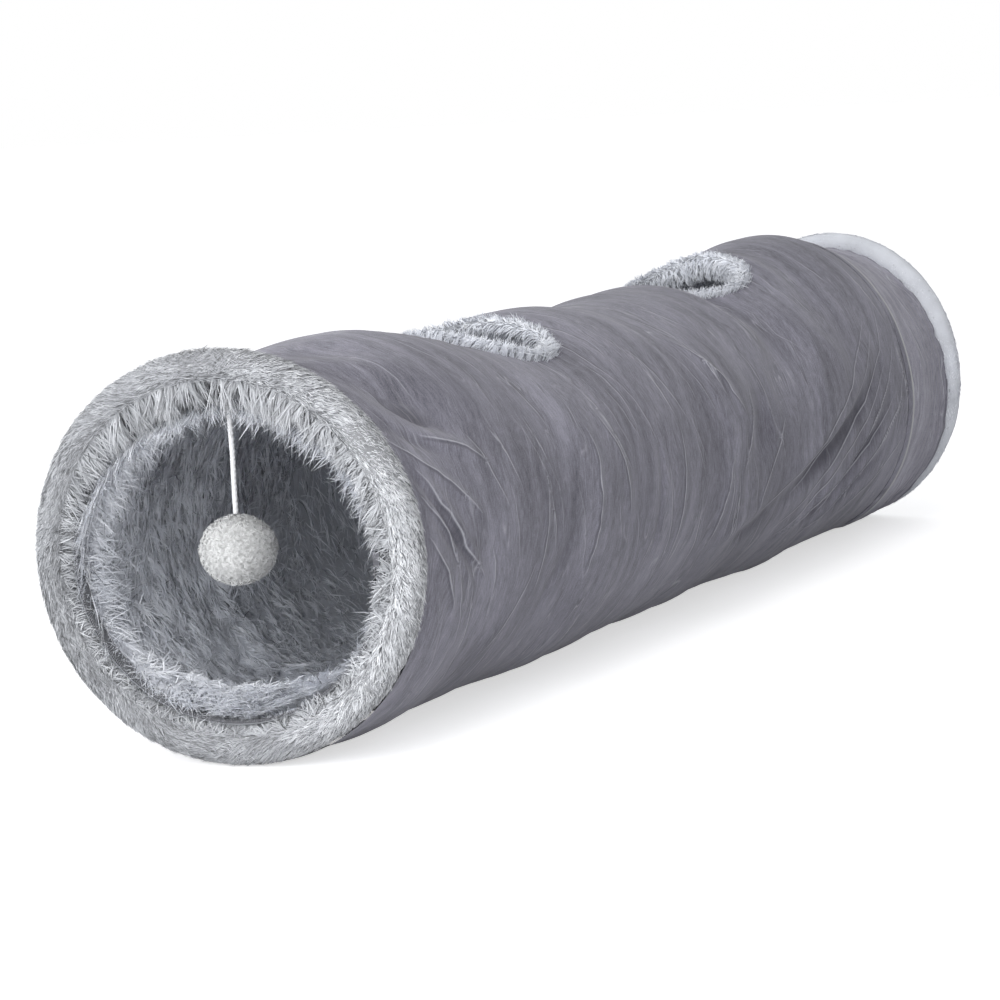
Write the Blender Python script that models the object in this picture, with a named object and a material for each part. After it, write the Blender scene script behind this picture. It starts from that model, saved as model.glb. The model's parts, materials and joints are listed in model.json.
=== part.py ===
"""Donut cat tunnel: a soft tube on sprung steel hoops, with plush rolls at both mouths, two peep holes,
a zip that can join its ends into a ring, and a pompom on a cord. Metres, +Z up, near mouth towards -Y."""

import math

import bpy
import bmesh
from mathutils import Matrix, Vector

# The whole tunnel
TUNNEL_LENGTH = 1.170       # from the near rim's hoop to the far rim's hoop
RIM_RADIUS = 0.150          # outside of the roll round a mouth
TUBE_SHARE = 0.98           # the skin's outer face at a round hoop, as a share of that
BOW = 0.010                 # sideways bow of the middle, away from +X
GAP = 0.0003                # between pieces that touch
AROUND = 28                 # flat facets round the tube, one of them on the floor

# Hoops, from the near mouth to the far one
HOOP_NAMES = ("near_rim", "front", "near_middle", "far_middle", "rear", "far_rim")
HOOP_PLACE_SHARES = (0.0, 0.150, 0.419, 0.581, 0.846, 1.0)
HOOP_WIDTH_SHARES = (0.965, 1.0, 1.036, 1.036, 1.050, 0.965)
HOOP_HEIGHT_SHARES = (0.965, 0.993, 0.959, 0.952, 1.024, 0.965)
HOOP_YAWS = (-9.0, -5.0, -1.0, 3.0, 14.0, 12.0)
WIRE_RADIUS = 0.002
WIRE_SIDES = 6

# Skin, hoop casings and plush lining
SKIN_THICKNESS = 0.002
CASING_WALL = 0.0008
LINING_THICKNESS = 0.008
HOOP_REST = 0.005           # half the width over which the cloth lies flat on a hoop
PANEL_NAMES = ("near", "front_window", "middle", "rear_window", "far")
TOP_SAG_SHARES = (0.02, 0.11, 0.05, 0.06, 0.03)
SIDE_BULGE_SHARES = (-0.02, 0.03, 0.03, 0.0, 0.0)
FLOOR_SAG_SHARES = (0.0, 0.02, 0.02, 0.02, 0.0)
FOLD_PANEL = "rear_window"  # the panel whose +X side hangs in slanting folds
FOLD_COUNT = 4              # crests
FOLD_DEPTH = 0.004
FOLD_PITCH = 17.0           # degrees round the tube from crest to crest
FOLD_HIGH_ANGLE = 38.0      # the highest crest where it meets the rear hoop
FOLD_FALL = 52.0            # degrees that a crest drops towards the near mouth
FOLD_AROUND = 2 * AROUND
CUFF_PLACE_SHARE = 0.889    # where the main skin ends and the smooth cuff starts
HEM_WIDTH = 0.012
HEM_THICKNESS = 0.002
HEM_OPEN_ANGLE = 28.0       # half the arc left open under the tube

# Plush rolls round the mouths
ROLL_RADIUS = 0.015
ROLL_WALL = 0.005
ROLL_SIDES = 8

# Peep holes in the top
HOLE_PLACE_SHARES = (0.305, 0.695)
HOLE_SIDE_SHIFTS = (0.025, 0.0)     # towards +X
HOLE_RADIUS = 0.062
TRIM_WIDTH = 0.018
HOLE_SIDES = 24
TRIM_RISE = 0.007
TRIM_HANG = 0.004

# Zip round the inner side of the rolls
ZIP_TAPE_WIDTH = 0.016
ZIP_TAPE_THICKNESS = 0.001
ZIP_COIL_WIDTH = 0.004
ZIP_COIL_THICKNESS = 0.0022
ZIP_START = 6.0             # degrees from the +X side, towards the top
ZIP_END = -256.0
ZIP_SEGMENTS = 36
SLIDER_LENGTH = 0.010
SLIDER_THICKNESS = 0.0025
SLIDER_WALL = 0.001
SLIDER_CLEARANCE = 0.0006
PULL_LENGTH = 0.018
PULL_WIDTH = 0.003
PULL_THICKNESS = 0.0012
PULL_BEAD_RADIUS = 0.0022

# Pompom on its cord
TAB_WIDTH = 0.010
TAB_THICKNESS = 0.0012
TAB_HEIGHT = 0.006
TAB_DEPTH = 0.0045          # behind the back of the roll
KNOT_RADIUS = 0.0032
CORD_RADIUS = 0.0019
CORD_LENGTH = 0.074
CORD_POINT_SHARES = (
    0.0, 0.02, 0.045, 0.09, 0.16, 0.24, 0.33, 0.42, 0.51, 0.6, 0.69, 0.78, 0.86, 0.93, 0.97, 1.0)
CORD_DRIFT_SHARES = (
    0.0, 0.0, 0.0, 0.0005, 0.002, 0.004, 0.006, 0.007, 0.006, 0.004, 0.002, 0.001, 0.0, 0.0, 0.0, 0.0)
POMPOM_RADIUS = 0.0285
POMPOM_HEIGHT_SHARE = 0.9

# Sizes that follow from those above
TUBE_RADIUS = RIM_RADIUS * TUBE_SHARE
CASING_HALF = WIRE_RADIUS + GAP + CASING_WALL
CASING_TOP = SKIN_THICKNESS + GAP
LINING_TOP = CASING_TOP + 2 * CASING_HALF + GAP
HOOP_LINE_RADIUS = RIM_RADIUS - ROLL_RADIUS
MOUTH_RADIUS = RIM_RADIUS - 2 * ROLL_RADIUS
WADDING_RADIUS = ROLL_RADIUS - ROLL_WALL - WIRE_RADIUS - 3 * GAP / 2
LAST = len(HOOP_NAMES) - 1
MIDDLE = len(PANEL_NAMES) // 2
FACET_SHARE = math.cos(math.pi / AROUND)


def clear_scene():
    for obj in list(bpy.data.objects):
        bpy.data.objects.remove(obj, do_unlink=True)


def material(name, colour, roughness, metallic=0.0):
    made = bpy.data.materials.new(name)
    made.use_nodes = True
    shader = made.node_tree.nodes["Principled BSDF"]
    shader.inputs["Base Color"].default_value = (*colour, 1.0)
    shader.inputs["Roughness"].default_value = roughness
    shader.inputs["Metallic"].default_value = metallic
    made.diffuse_color = (*colour, 1.0)
    return made


def blend(low, high, share):
    """Moves from low to high with no slope at either end."""
    return low + (high - low) * share * share * (3 - 2 * share)


def rest_at(hoop):
    """How far the cloth keeps a hoop's own outline to either side of it, as a share of the tunnel's length."""
    if hoop in (0, LAST):
        return (ROLL_RADIUS + GAP) / math.cos(math.radians(HOOP_YAWS[hoop])) / TUNNEL_LENGTH
    return HOOP_REST / TUNNEL_LENGTH


def span_of(place):
    """The panel that holds a place along the tube, and how far through its free cloth the place lies."""
    number = 0
    while number < LAST - 1 and place > HOOP_PLACE_SHARES[number + 1]:
        number += 1
    start = HOOP_PLACE_SHARES[number] + rest_at(number)
    end = HOOP_PLACE_SHARES[number + 1] - rest_at(number + 1)
    return number, min(max((place - start) / (end - start), 0.0), 1.0)


class Section:
    """The tube's upright cross-section at one place along it, from 0 at the near hoop to 1 at the far one."""

    def __init__(self, place):
        number, through = span_of(place)
        self.number, self.through = number, through
        yaw = math.radians(blend(HOOP_YAWS[number], HOOP_YAWS[number + 1], through))
        width = blend(HOOP_WIDTH_SHARES[number], HOOP_WIDTH_SHARES[number + 1], through)
        height = blend(HOOP_HEIGHT_SHARES[number], HOOP_HEIGHT_SHARES[number + 1], through)
        sag = math.sin(math.pi * through) ** 2
        self.side = Vector((math.cos(yaw), -math.sin(yaw), 0.0))
        self.along = Vector((math.sin(yaw), math.cos(yaw), 0.0))
        self.half_width = TUBE_RADIUS * (width + SIDE_BULGE_SHARES[number] * sag)
        self.half_height = TUBE_RADIUS * height
        self.top_sag = TUBE_RADIUS * TOP_SAG_SHARES[number] * sag
        self.floor_sag = TUBE_RADIUS * FLOOR_SAG_SHARES[number] * sag
        self.centre = centre_at(place) + Vector((0.0, 0.0, self.half_height * FACET_SHARE))

    def fold(self, angle):
        """How far the folded cloth is pressed in here, nothing at the crests and at the hoops."""
        if PANEL_NAMES[self.number] != FOLD_PANEL:
            return 0.0
        highest = FOLD_HIGH_ANGLE - FOLD_FALL * (1 - self.through)
        crests = min(max((highest - math.degrees(angle)) / FOLD_PITCH, 0.0), FOLD_COUNT - 1)
        return FOLD_DEPTH * math.sin(math.pi * self.through) ** 2 * math.sin(math.pi * crests) ** 2

    def point(self, angle, depth):
        """A point at an angle from +X, so far under the skin's outer face."""
        sine = math.sin(angle)
        across = (self.half_width - depth) * math.cos(angle)
        up = (self.half_height - depth) * sine
        up -= self.top_sag * sine * sine if sine > 0 else -self.floor_sag * sine * sine * sine
        spot = self.centre + self.side * across
        spot.z = max(spot.z + up, depth)
        return spot


def centre_at(place):
    """The point on the floor under the middle of the tube."""
    return Vector((-4 * BOW * place * (1 - place), TUNNEL_LENGTH * place, 0.0))


class Rim:
    """A mouth's frame: round its centre, and out of the tunnel from its hoop's plane."""

    def __init__(self, hoop):
        yaw = math.radians(HOOP_YAWS[hoop])
        outward = 1 if hoop else -1
        self.side = Vector((math.cos(yaw), -math.sin(yaw), 0.0))
        self.out = Vector((math.sin(yaw), math.cos(yaw), 0.0)) * outward
        self.centre = centre_at(HOOP_PLACE_SHARES[hoop]) + Vector((0.0, 0.0, RIM_RADIUS * FACET_SHARE))

    def point(self, radius, angle, out=0.0):
        spot = self.centre + self.side * radius * math.cos(angle) + self.out * out
        spot.z = max(spot.z + radius * math.sin(angle), 0.0)
        return spot


def facet_angles(count=AROUND):
    """Angles round the tube that set one facet level on the floor."""
    first = math.pi / AROUND - math.pi / 2
    return [first + 2 * math.pi * number / count for number in range(count)]


def swept(name, sections, closed, finish):
    """One solid through a row of cross-sections of equal counts, closed into a ring or capped at both ends."""
    count, rows = len(sections[0]), len(sections)
    faces = []
    for row in range(rows if closed else rows - 1):
        here, following = row * count, (row + 1) % rows * count
        for number in range(count):
            after = (number + 1) % count
            faces.append((here + number, here + after, following + after, following + number))
    if not closed:
        faces.append(tuple(range(count)))
        faces.append(tuple(range((rows - 1) * count, rows * count)))
    return solid(name, [spot for section in sections for spot in section], faces, finish)


def solid(name, points, faces, finish):
    mesh = bpy.data.meshes.new(name)
    mesh.from_pydata([tuple(spot) for spot in points], [], faces)
    work = bmesh.new()
    work.from_mesh(mesh)
    bmesh.ops.recalc_face_normals(work, faces=work.faces)
    bmesh.ops.triangulate(work, faces=work.faces)
    work.to_mesh(mesh)
    work.free()
    mesh.materials.append(finish)
    mesh.shade_smooth()
    mesh.set_sharp_from_angle(angle=math.radians(40))
    made = bpy.data.objects.new(name, mesh)
    bpy.context.scene.collection.objects.link(made)
    return made


def hold(obj, body):
    """Hangs an object that was made in place on the empty of its moving body."""
    obj.parent = body
    obj.matrix_parent_inverse = Matrix.Translation(-Vector(body["pivot"]))


def body_at(name, pivot, parent=None):
    made = bpy.data.objects.new(name, None)
    bpy.context.scene.collection.objects.link(made)
    made.empty_display_size = WIRE_RADIUS
    made["pivot"] = tuple(pivot)
    made.parent = parent
    made.location = pivot - Vector(parent["pivot"]) if parent else pivot
    return made


def panel_places(number, shares):
    """Places along one panel: where it rests on its hoops, shares of the free cloth, and ends clear of the seams."""
    start = HOOP_PLACE_SHARES[number] + rest_at(number)
    end = HOOP_PLACE_SHARES[number + 1] - rest_at(number + 1)
    places = [start] + [start + share * (end - start) for share in shares] + [end]
    if number > 0:
        places.insert(0, HOOP_PLACE_SHARES[number] + GAP / TUNNEL_LENGTH / 2)
    if number < LAST - 1:
        places.append(HOOP_PLACE_SHARES[number + 1] - GAP / TUNNEL_LENGTH / 2)
    return places


def panel(name, places, top, thickness, finish):
    """A tube of cloth through places along the tunnel, from a depth of top under the skin's face."""
    stations = [Section(place) for place in places]
    sections = []
    for angle in facet_angles():
        outer = [station.point(angle, top) for station in stations]
        inner = [station.point(angle, top + thickness) for station in reversed(stations)]
        sections.append(outer + inner)
    return swept(name, sections, True, finish)


def skin_panels(finish):
    made = []
    for number, name in enumerate(PANEL_NAMES):
        if name == FOLD_PANEL:
            made.append(folded_panel(f"{name}_skin", panel_places(number, (1 / 6, 1 / 3, 1 / 2, 2 / 3, 5 / 6)), finish))
            continue
        places = far_places()[0] if number == LAST - 1 else panel_places(number, (0.25, 0.5, 0.75))
        made.append(panel(f"{name}_skin", places, 0.0, SKIN_THICKNESS, finish))
    return made


def folded_panel(name, places, finish):
    """A tube of cloth with its folds, whose facets are finer so that they can follow them."""
    stations = [Section(place) for place in places]
    sections = []
    for angle in facet_angles(FOLD_AROUND):
        outer = [station.point(angle, station.fold(angle)) for station in stations]
        inner = [station.point(angle, station.fold(angle) + SKIN_THICKNESS) for station in reversed(stations)]
        sections.append(outer + inner)
    return swept(name, sections, True, finish)


def far_places():
    """Places along the main skin beyond the rear hoop, and along the cuff that goes on from it."""
    places = panel_places(LAST - 1, (0.6, 0.8))
    seam = GAP / TUNNEL_LENGTH / 2
    hem_start = CUFF_PLACE_SHARE - HEM_WIDTH / TUNNEL_LENGTH
    before = [place for place in places if place < hem_start] + [hem_start, CUFF_PLACE_SHARE - seam]
    return before, [CUFF_PLACE_SHARE + seam] + [place for place in places if place > CUFF_PLACE_SHARE]


def lining_panels(finish):
    made = []
    for number, name in enumerate(PANEL_NAMES):
        places = panel_places(number, (0.5,))
        made.append(panel(f"{name}_lining", places, LINING_TOP, LINING_THICKNESS, finish))
    return made


def hoop(number, finish):
    """A sprung steel hoop of round wire, in its casing or inside a mouth's roll."""
    sections = []
    for angle in facet_angles():
        section = []
        for corner in range(WIRE_SIDES):
            turn = 2 * math.pi * corner / WIRE_SIDES
            rise, along = WIRE_RADIUS * math.cos(turn), WIRE_RADIUS * math.sin(turn)
            section.append(hoop_point(number, angle, rise, along))
        sections.append(section)
    return swept(f"{HOOP_NAMES[number]}_hoop", sections, True, finish)


def hoop_point(number, angle, rise, along):
    if number in (0, LAST):
        seat = ROLL_WALL + GAP + WIRE_RADIUS - ROLL_RADIUS
        return Rim(number).point(HOOP_LINE_RADIUS + rise, angle, seat + along)
    return beside(HOOP_PLACE_SHARES[number], along).point(angle, CASING_TOP + CASING_HALF - rise)


def beside(place, along):
    """The section a little way along the tube from a place."""
    return Section(place + along / TUNNEL_LENGTH)


def casing(number, finish):
    """The sewn channel that holds a hoop under the skin, open towards the lining."""
    top, bottom = CASING_TOP, CASING_TOP + 2 * CASING_HALF
    half, inner = CASING_HALF, CASING_HALF - CASING_WALL
    outline = ((-half, bottom), (-half, top), (half, top), (half, bottom))
    outline += ((inner, bottom), (inner, top + CASING_WALL), (-inner, top + CASING_WALL), (-inner, bottom))
    row = [(beside(HOOP_PLACE_SHARES[number], along), depth) for along, depth in outline]
    sections = [[station.point(angle, depth) for station, depth in row] for angle in facet_angles()]
    return swept(f"{HOOP_NAMES[number]}_hoop_casing", sections, True, finish)


def hem(finish):
    """The folded edge of the main skin, which stands proud where the smooth far cuff starts."""
    inside, outside = -GAP, -GAP - HEM_THICKNESS
    outline = ((-HEM_WIDTH, outside), (0.0, outside), (0.0, inside), (-HEM_WIDTH, inside))
    row = [(beside(CUFF_PLACE_SHARE, along), depth) for along, depth in outline]
    opening = math.radians(HEM_OPEN_ANGLE)
    angles = [turn for turn in facet_angles() if turn + math.pi / 2 > opening and 1.5 * math.pi - turn > opening]
    sections = [[station.point(angle, depth) for station, depth in row] for angle in angles]
    return swept("skin_hem", sections, False, finish)


def roll_corner(corner, flat_radius):
    """One corner of a roll's section, which is flat towards the floor, the mouth, the axis and the tube."""
    turn = math.pi / ROLL_SIDES * (2 * corner + 1) - math.pi / 2
    reach = flat_radius / math.cos(math.pi / ROLL_SIDES)
    return reach * math.cos(turn), reach * math.sin(turn)


def rim_cover(number, finish):
    """The plush cover of a mouth's roll, open at the back where skin and lining are sewn in."""
    rim = Rim(number)
    outer = [roll_corner(corner, ROLL_RADIUS) for corner in range(ROLL_SIDES)]
    inner = [roll_corner(corner, ROLL_RADIUS - ROLL_WALL) for corner in reversed(range(ROLL_SIDES))]
    outline = outer + inner
    sections = [
        [rim.point(HOOP_LINE_RADIUS + rise, angle, out) for rise, out in outline] for angle in facet_angles()
    ]
    return swept(f"{HOOP_NAMES[number]}_cover", sections, True, finish)


def rim_wadding(number, finish):
    """The soft core that fills the roll in front of its hoop."""
    rim = Rim(number)
    shift = ROLL_RADIUS - ROLL_WALL - GAP - WADDING_RADIUS
    outline = [roll_corner(corner, WADDING_RADIUS) for corner in range(ROLL_SIDES)]
    sections = [
        [rim.point(HOOP_LINE_RADIUS + rise, angle, out + shift) for rise, out in outline]
        for angle in facet_angles()
    ]
    return swept(f"{HOOP_NAMES[number]}_wadding", sections, True, finish)


def zip_angles():
    step = (ZIP_END - ZIP_START) / ZIP_SEGMENTS
    return [math.radians(ZIP_START + number * step) for number in range(ZIP_SEGMENTS + 1)]


def zip_band(name, number, outer, inner, front, back, finish):
    """A strip along the zip's arc, between two radii and two distances out of the mouth."""
    rim = Rim(number)
    outline = ((outer, front), (inner, front), (inner, back), (outer, back))
    sections = [[rim.point(radius, angle, out) for radius, out in outline] for angle in zip_angles()]
    return swept(name, sections, False, finish)


def zip_radii():
    """Outer and inner radius of the tape, then of the coil. The facets of the roll reach in a little."""
    facet = MOUTH_RADIUS * math.cos(math.pi / AROUND)
    tape = facet - GAP
    coil = tape - ZIP_TAPE_THICKNESS - GAP
    return tape, tape - ZIP_TAPE_THICKNESS, coil, coil - ZIP_COIL_THICKNESS


def zips(tape_finish, coil_finish):
    made = []
    tape, tape_in, coil, coil_in = zip_radii()
    front = ZIP_TAPE_WIDTH / 4
    for number in (0, LAST):
        label = HOOP_NAMES[number].removesuffix("_rim")
        back = front - ZIP_TAPE_WIDTH
        made.append(zip_band(f"{label}_zip_tape", number, tape, tape_in, front, back, tape_finish))
        back = front - ZIP_COIL_WIDTH
        made.append(zip_band(f"{label}_zip_coil", number, coil, coil_in, front, back, coil_finish))
    return made


def boxed(name, centre, axes, halves, finish):
    """A block round a centre, with its own three axes and half sizes."""
    points = []
    for low_high in range(8):
        signs = [1 if low_high >> bit & 1 else -1 for bit in range(3)]
        points.append(centre + sum((a * h * s for a, h, s in zip(axes, halves, signs)), Vector()))
    faces = ((0, 1, 3, 2), (4, 6, 7, 5), (0, 4, 5, 1), (2, 3, 7, 6), (0, 2, 6, 4), (1, 5, 7, 3))
    return solid(name, points, faces, finish)


def zip_slider(finish):
    """The slider: a plate inside the coil with a cheek at each side of it."""
    rim = Rim(0)
    coil_out, coil_in = zip_radii()[2:]
    inside = coil_in * math.cos((ZIP_START - ZIP_END) / ZIP_SEGMENTS / 2 * math.pi / 180) - SLIDER_CLEARANCE
    front = ZIP_TAPE_WIDTH / 4 + SLIDER_CLEARANCE
    back = ZIP_TAPE_WIDTH / 4 - ZIP_COIL_WIDTH - SLIDER_CLEARANCE
    reach = (coil_out + coil_in) / 2
    outline = [(inside - SLIDER_THICKNESS, back - SLIDER_WALL), (inside - SLIDER_THICKNESS, front + SLIDER_WALL)]
    outline += [(reach, front + SLIDER_WALL), (reach, front), (inside, front)]
    outline += [(inside, back), (reach, back), (reach, back - SLIDER_WALL)]
    sections = []
    for end in (-0.5, 0.5):
        lift = Vector((0.0, 0.0, end * SLIDER_LENGTH))
        sections.append([rim.point(radius, 0.0, out) + lift for radius, out in outline])
    return swept("zip_slider", sections, False, finish), inside - SLIDER_THICKNESS


def zip_pull(inside, finish):
    """The pull that hangs from the slider: a thin tab with a bead at its end."""
    rim = Rim(0)
    hang = rim.point(inside - GAP - PULL_THICKNESS / 2, 0.0, ZIP_TAPE_WIDTH / 4 - ZIP_COIL_WIDTH / 2)
    down = Vector((0.0, 0.0, -PULL_LENGTH / 2))
    axes = (rim.side, rim.out, Vector((0.0, 0.0, 1.0)))
    halves = (PULL_THICKNESS / 2, PULL_WIDTH / 2, PULL_LENGTH / 2)
    tab = boxed("zip_pull", hang + down, axes, halves, finish)
    bead = ball("pull_bead", hang + 2 * down, PULL_BEAD_RADIUS, PULL_BEAD_RADIUS, 1, finish)
    joined = tab.modifiers.new("bead", "BOOLEAN")
    joined.operation, joined.object = "UNION", bead
    bead.hide_render, bead.display_type = True, "WIRE"
    return tab, hang


def ball(name, centre, radius, half_height, detail, finish):
    """A faceted ball, flattened to a half height."""
    work = bmesh.new()
    bmesh.ops.create_icosphere(work, subdivisions=detail, radius=1.0)
    points = [centre + Vector((v.co.x * radius, v.co.y * radius, v.co.z * half_height)) for v in work.verts]
    faces = [[v.index for v in face.verts] for face in work.faces]
    work.free()
    return solid(name, points, faces, finish)


def skin_height(spot, depth):
    """Height of the tube's top over a point, so far under the skin's face."""
    place = spot.y / TUNNEL_LENGTH
    for _ in range(4):
        station = Section(place)
        across = (spot - station.centre).dot(station.side)
        place += (spot - station.centre).dot(station.along) / TUNNEL_LENGTH
    share = across / (station.half_width - depth)
    return station.point(math.acos(max(-1.0, min(1.0, share))), depth).z


def hole_spot(number, radius, angle):
    middle = centre_at(HOLE_PLACE_SHARES[number]) + Vector((HOLE_SIDE_SHIFTS[number], 0.0, 0.0))
    return middle + Vector((radius * math.cos(angle), radius * math.sin(angle), 0.0))


def hole_cutter(number, finish):
    """An upright prism through the top of the tube."""
    sections = []
    for height in (RIM_RADIUS, 3 * RIM_RADIUS):
        rise = Vector((0.0, 0.0, height))
        turns = (2 * math.pi * corner / HOLE_SIDES for corner in range(HOLE_SIDES))
        sections.append([hole_spot(number, HOLE_RADIUS, turn) + rise for turn in turns])
    cutter = swept(f"hole_{number}_cutter", sections, False, finish)
    cutter.hide_render, cutter.display_type = True, "WIRE"
    return cutter


def peep_trim(number, name, finish):
    """The plush ring that binds the edge of a peep hole through skin and lining."""
    bottom = LINING_TOP + LINING_THICKNESS + TRIM_HANG
    sections = []
    outer, inner = HOLE_RADIUS - GAP, HOLE_RADIUS - TRIM_WIDTH
    crown = (outer * 2 + inner) / 3
    outline = ((outer, 0.0), (crown, -TRIM_RISE), (inner, 0.0), (inner, bottom), (outer, bottom))
    for corner in range(HOLE_SIDES):
        turn = 2 * math.pi * corner / HOLE_SIDES
        section = []
        for radius, depth in outline:
            spot = hole_spot(number, radius, turn)
            spot.z = skin_height(spot, 0.0) - depth
            section.append(spot)
        sections.append(section)
    return swept(name, sections, True, finish)


def cut(obj, cutter):
    opened = obj.modifiers.new("peep_hole", "BOOLEAN")
    opened.operation, opened.object = "DIFFERENCE", cutter


def pompom_set(tab_finish, cord_finish, pompom_finish):
    """The tab behind the top of the near roll, the knot under it, the cord and the pompom."""
    rim = Rim(0)
    out = -ROLL_RADIUS - TAB_DEPTH
    seam = Section((ROLL_RADIUS + TAB_DEPTH) / TUNNEL_LENGTH)
    roof = seam.point(facet_angles()[AROUND // 2], LINING_TOP + LINING_THICKNESS).z - GAP
    middle = rim.point(0.0, 0.0, out)
    axes = (rim.side, rim.out, Vector((0.0, 0.0, 1.0)))
    middle.z = roof - TAB_HEIGHT / 2
    tab = boxed("cord_tab", middle, axes, (TAB_WIDTH / 2, TAB_THICKNESS / 2, TAB_HEIGHT / 2), tab_finish)
    pivot = Vector((middle.x, middle.y, roof - TAB_HEIGHT - GAP - KNOT_RADIUS))
    knot = ball("cord_knot", pivot, KNOT_RADIUS, KNOT_RADIUS, 2, cord_finish)
    top = pivot - Vector((0.0, 0.0, KNOT_RADIUS + GAP))
    cord = cord_tube(top, rim.side, cord_finish)
    under = top - Vector((0.0, 0.0, CORD_LENGTH + GAP + POMPOM_RADIUS * POMPOM_HEIGHT_SHARE))
    pompom = ball("pompom", under, POMPOM_RADIUS, POMPOM_RADIUS * POMPOM_HEIGHT_SHARE, 3, pompom_finish)
    return tab, knot, cord, pompom, pivot


def cord_tube(top, side, finish):
    """The braided cord, hanging from its knot to the pompom."""
    curve = bpy.data.curves.new("pompom_cord", "CURVE")
    curve.dimensions = "3D"
    curve.bevel_depth = CORD_RADIUS
    curve.bevel_resolution = 2
    curve.use_fill_caps = True
    line = curve.splines.new("POLY")
    line.points.add(len(CORD_POINT_SHARES) - 1)
    for point, down, drift in zip(line.points, CORD_POINT_SHARES, CORD_DRIFT_SHARES):
        spot = top + side * drift * CORD_LENGTH - Vector((0.0, 0.0, down * CORD_LENGTH))
        point.co = (*spot, 1.0)
    curve.materials.append(finish)
    made = bpy.data.objects.new("pompom_cord", curve)
    bpy.context.scene.collection.objects.link(made)
    return made


def bodies():
    """Empties for the chain of hoops and panels, from the middle panel out to each mouth.

    A hoop leans on its inner panel about the hoop's upright axis, and the outer panel leans on the hoop there too."""
    pivots = [centre_at(share) + Vector((0.0, 0.0, RIM_RADIUS)) for share in HOOP_PLACE_SHARES]
    panels = {MIDDLE: body_at("middle_panel_body", pivots[MIDDLE])}
    hoops = {}
    for hoop_number in range(MIDDLE, -1, -1):
        hang_hoop(hoop_number, hoop_number - 1, hoop_number, pivots, hoops, panels)
    for hoop_number in range(MIDDLE + 1, LAST + 1):
        hang_hoop(hoop_number, hoop_number, hoop_number - 1, pivots, hoops, panels)
    return hoops, panels


def hang_hoop(number, outer, inner, pivots, hoops, panels):
    """The empties of one hoop and of the panel that it carries, if it isn't a mouth."""
    hoops[number] = body_at(f"{HOOP_NAMES[number]}_hoop_body", pivots[number], panels[inner])
    if 0 < number < LAST:
        panels[outer] = body_at(f"{PANEL_NAMES[outer]}_panel_body", pivots[number], hoops[number])


def centre_on_floor(root):
    """Moves the whole tunnel so that its box stands on the origin."""
    low, high = Vector((math.inf,) * 3), Vector((-math.inf,) * 3)
    for obj in bpy.data.objects:
        if obj.type == "MESH" and not obj.hide_render:
            for vertex in obj.data.vertices:
                low = Vector(map(min, low, vertex.co))
                high = Vector(map(max, high, vertex.co))
    middle = (low + high) / 2
    root.location -= Vector((middle.x, middle.y, 0.0))


def build():
    clear_scene()
    suede = material("grey_suede", (0.21, 0.205, 0.22), 0.85)
    cuff = material("smooth_suede", (0.29, 0.275, 0.28), 0.7)
    plush = material("grey_plush", (0.52, 0.55, 0.57), 0.95)
    pile = material("long_pile", (0.36, 0.39, 0.44), 0.95)
    trim = material("pale_plush", (0.70, 0.74, 0.78), 0.95)
    steel = material("spring_steel", (0.55, 0.55, 0.56), 0.35, 1.0)
    channel = material("casing_tape", (0.18, 0.18, 0.19), 0.8)
    wadding = material("white_wadding", (0.82, 0.82, 0.80), 1.0)
    tape = material("zip_tape", (0.09, 0.10, 0.12), 0.8)
    nylon = material("nylon_coil", (0.12, 0.13, 0.15), 0.4)
    metal = material("dark_zip_metal", (0.08, 0.08, 0.09), 0.4, 0.9)
    white = material("white_cord", (0.86, 0.85, 0.85), 0.8)
    fleece = material("white_fleece", (0.80, 0.79, 0.78), 1.0)

    hoops, panels = bodies()
    skins = skin_panels(suede)
    linings = lining_panels(pile)
    for number, (skin, lining) in enumerate(zip(skins, linings)):
        hold(skin, panels[number])
        hold(lining, panels[number])
    for number, body in hoops.items():
        hold(hoop(number, steel), body)
        if number in (0, LAST):
            hold(rim_cover(number, plush), body)
            hold(rim_wadding(number, wadding), body)
        else:
            hold(casing(number, channel), body)
    hold(panel("far_cuff", far_places()[1], 0.0, SKIN_THICKNESS, cuff), panels[LAST - 1])
    hold(hem(suede), panels[LAST - 1])

    for number, (panel_number, name) in enumerate(((MIDDLE - 1, "front"), (MIDDLE + 1, "rear"))):
        cutter = hole_cutter(number, suede)
        hold(cutter, panels[panel_number])
        cut(skins[panel_number], cutter)
        cut(linings[panel_number], cutter)
        hold(peep_trim(number, f"{name}_peep_trim", trim), panels[panel_number])

    near, far = hoops[0], hoops[LAST]
    for strip, body in zip(zips(tape, nylon), (near, near, far, far)):
        hold(strip, body)
    slider_body = body_at("slider_body", Rim(0).centre, near)
    slider, inside = zip_slider(metal)
    hold(slider, slider_body)
    pull, hang = zip_pull(inside, metal)
    pull_body = body_at("pull_body", hang, slider_body)
    hold(pull, pull_body)
    hold(bpy.data.objects["pull_bead"], pull_body)

    tab, knot, cord, pompom, pivot = pompom_set(channel, white, fleece)
    hold(tab, near)
    knot_body = body_at("knot_body", pivot, near)
    hold(knot, knot_body)
    pompom_body = body_at("pompom_body", pivot, knot_body)
    hold(cord, pompom_body)
    hold(pompom, pompom_body)
    centre_on_floor(panels[MIDDLE])


build()
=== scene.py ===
import json
import math

import bmesh
import bpy
import numpy as np
from mathutils import Matrix, Vector
from mathutils.kdtree import KDTree


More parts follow.
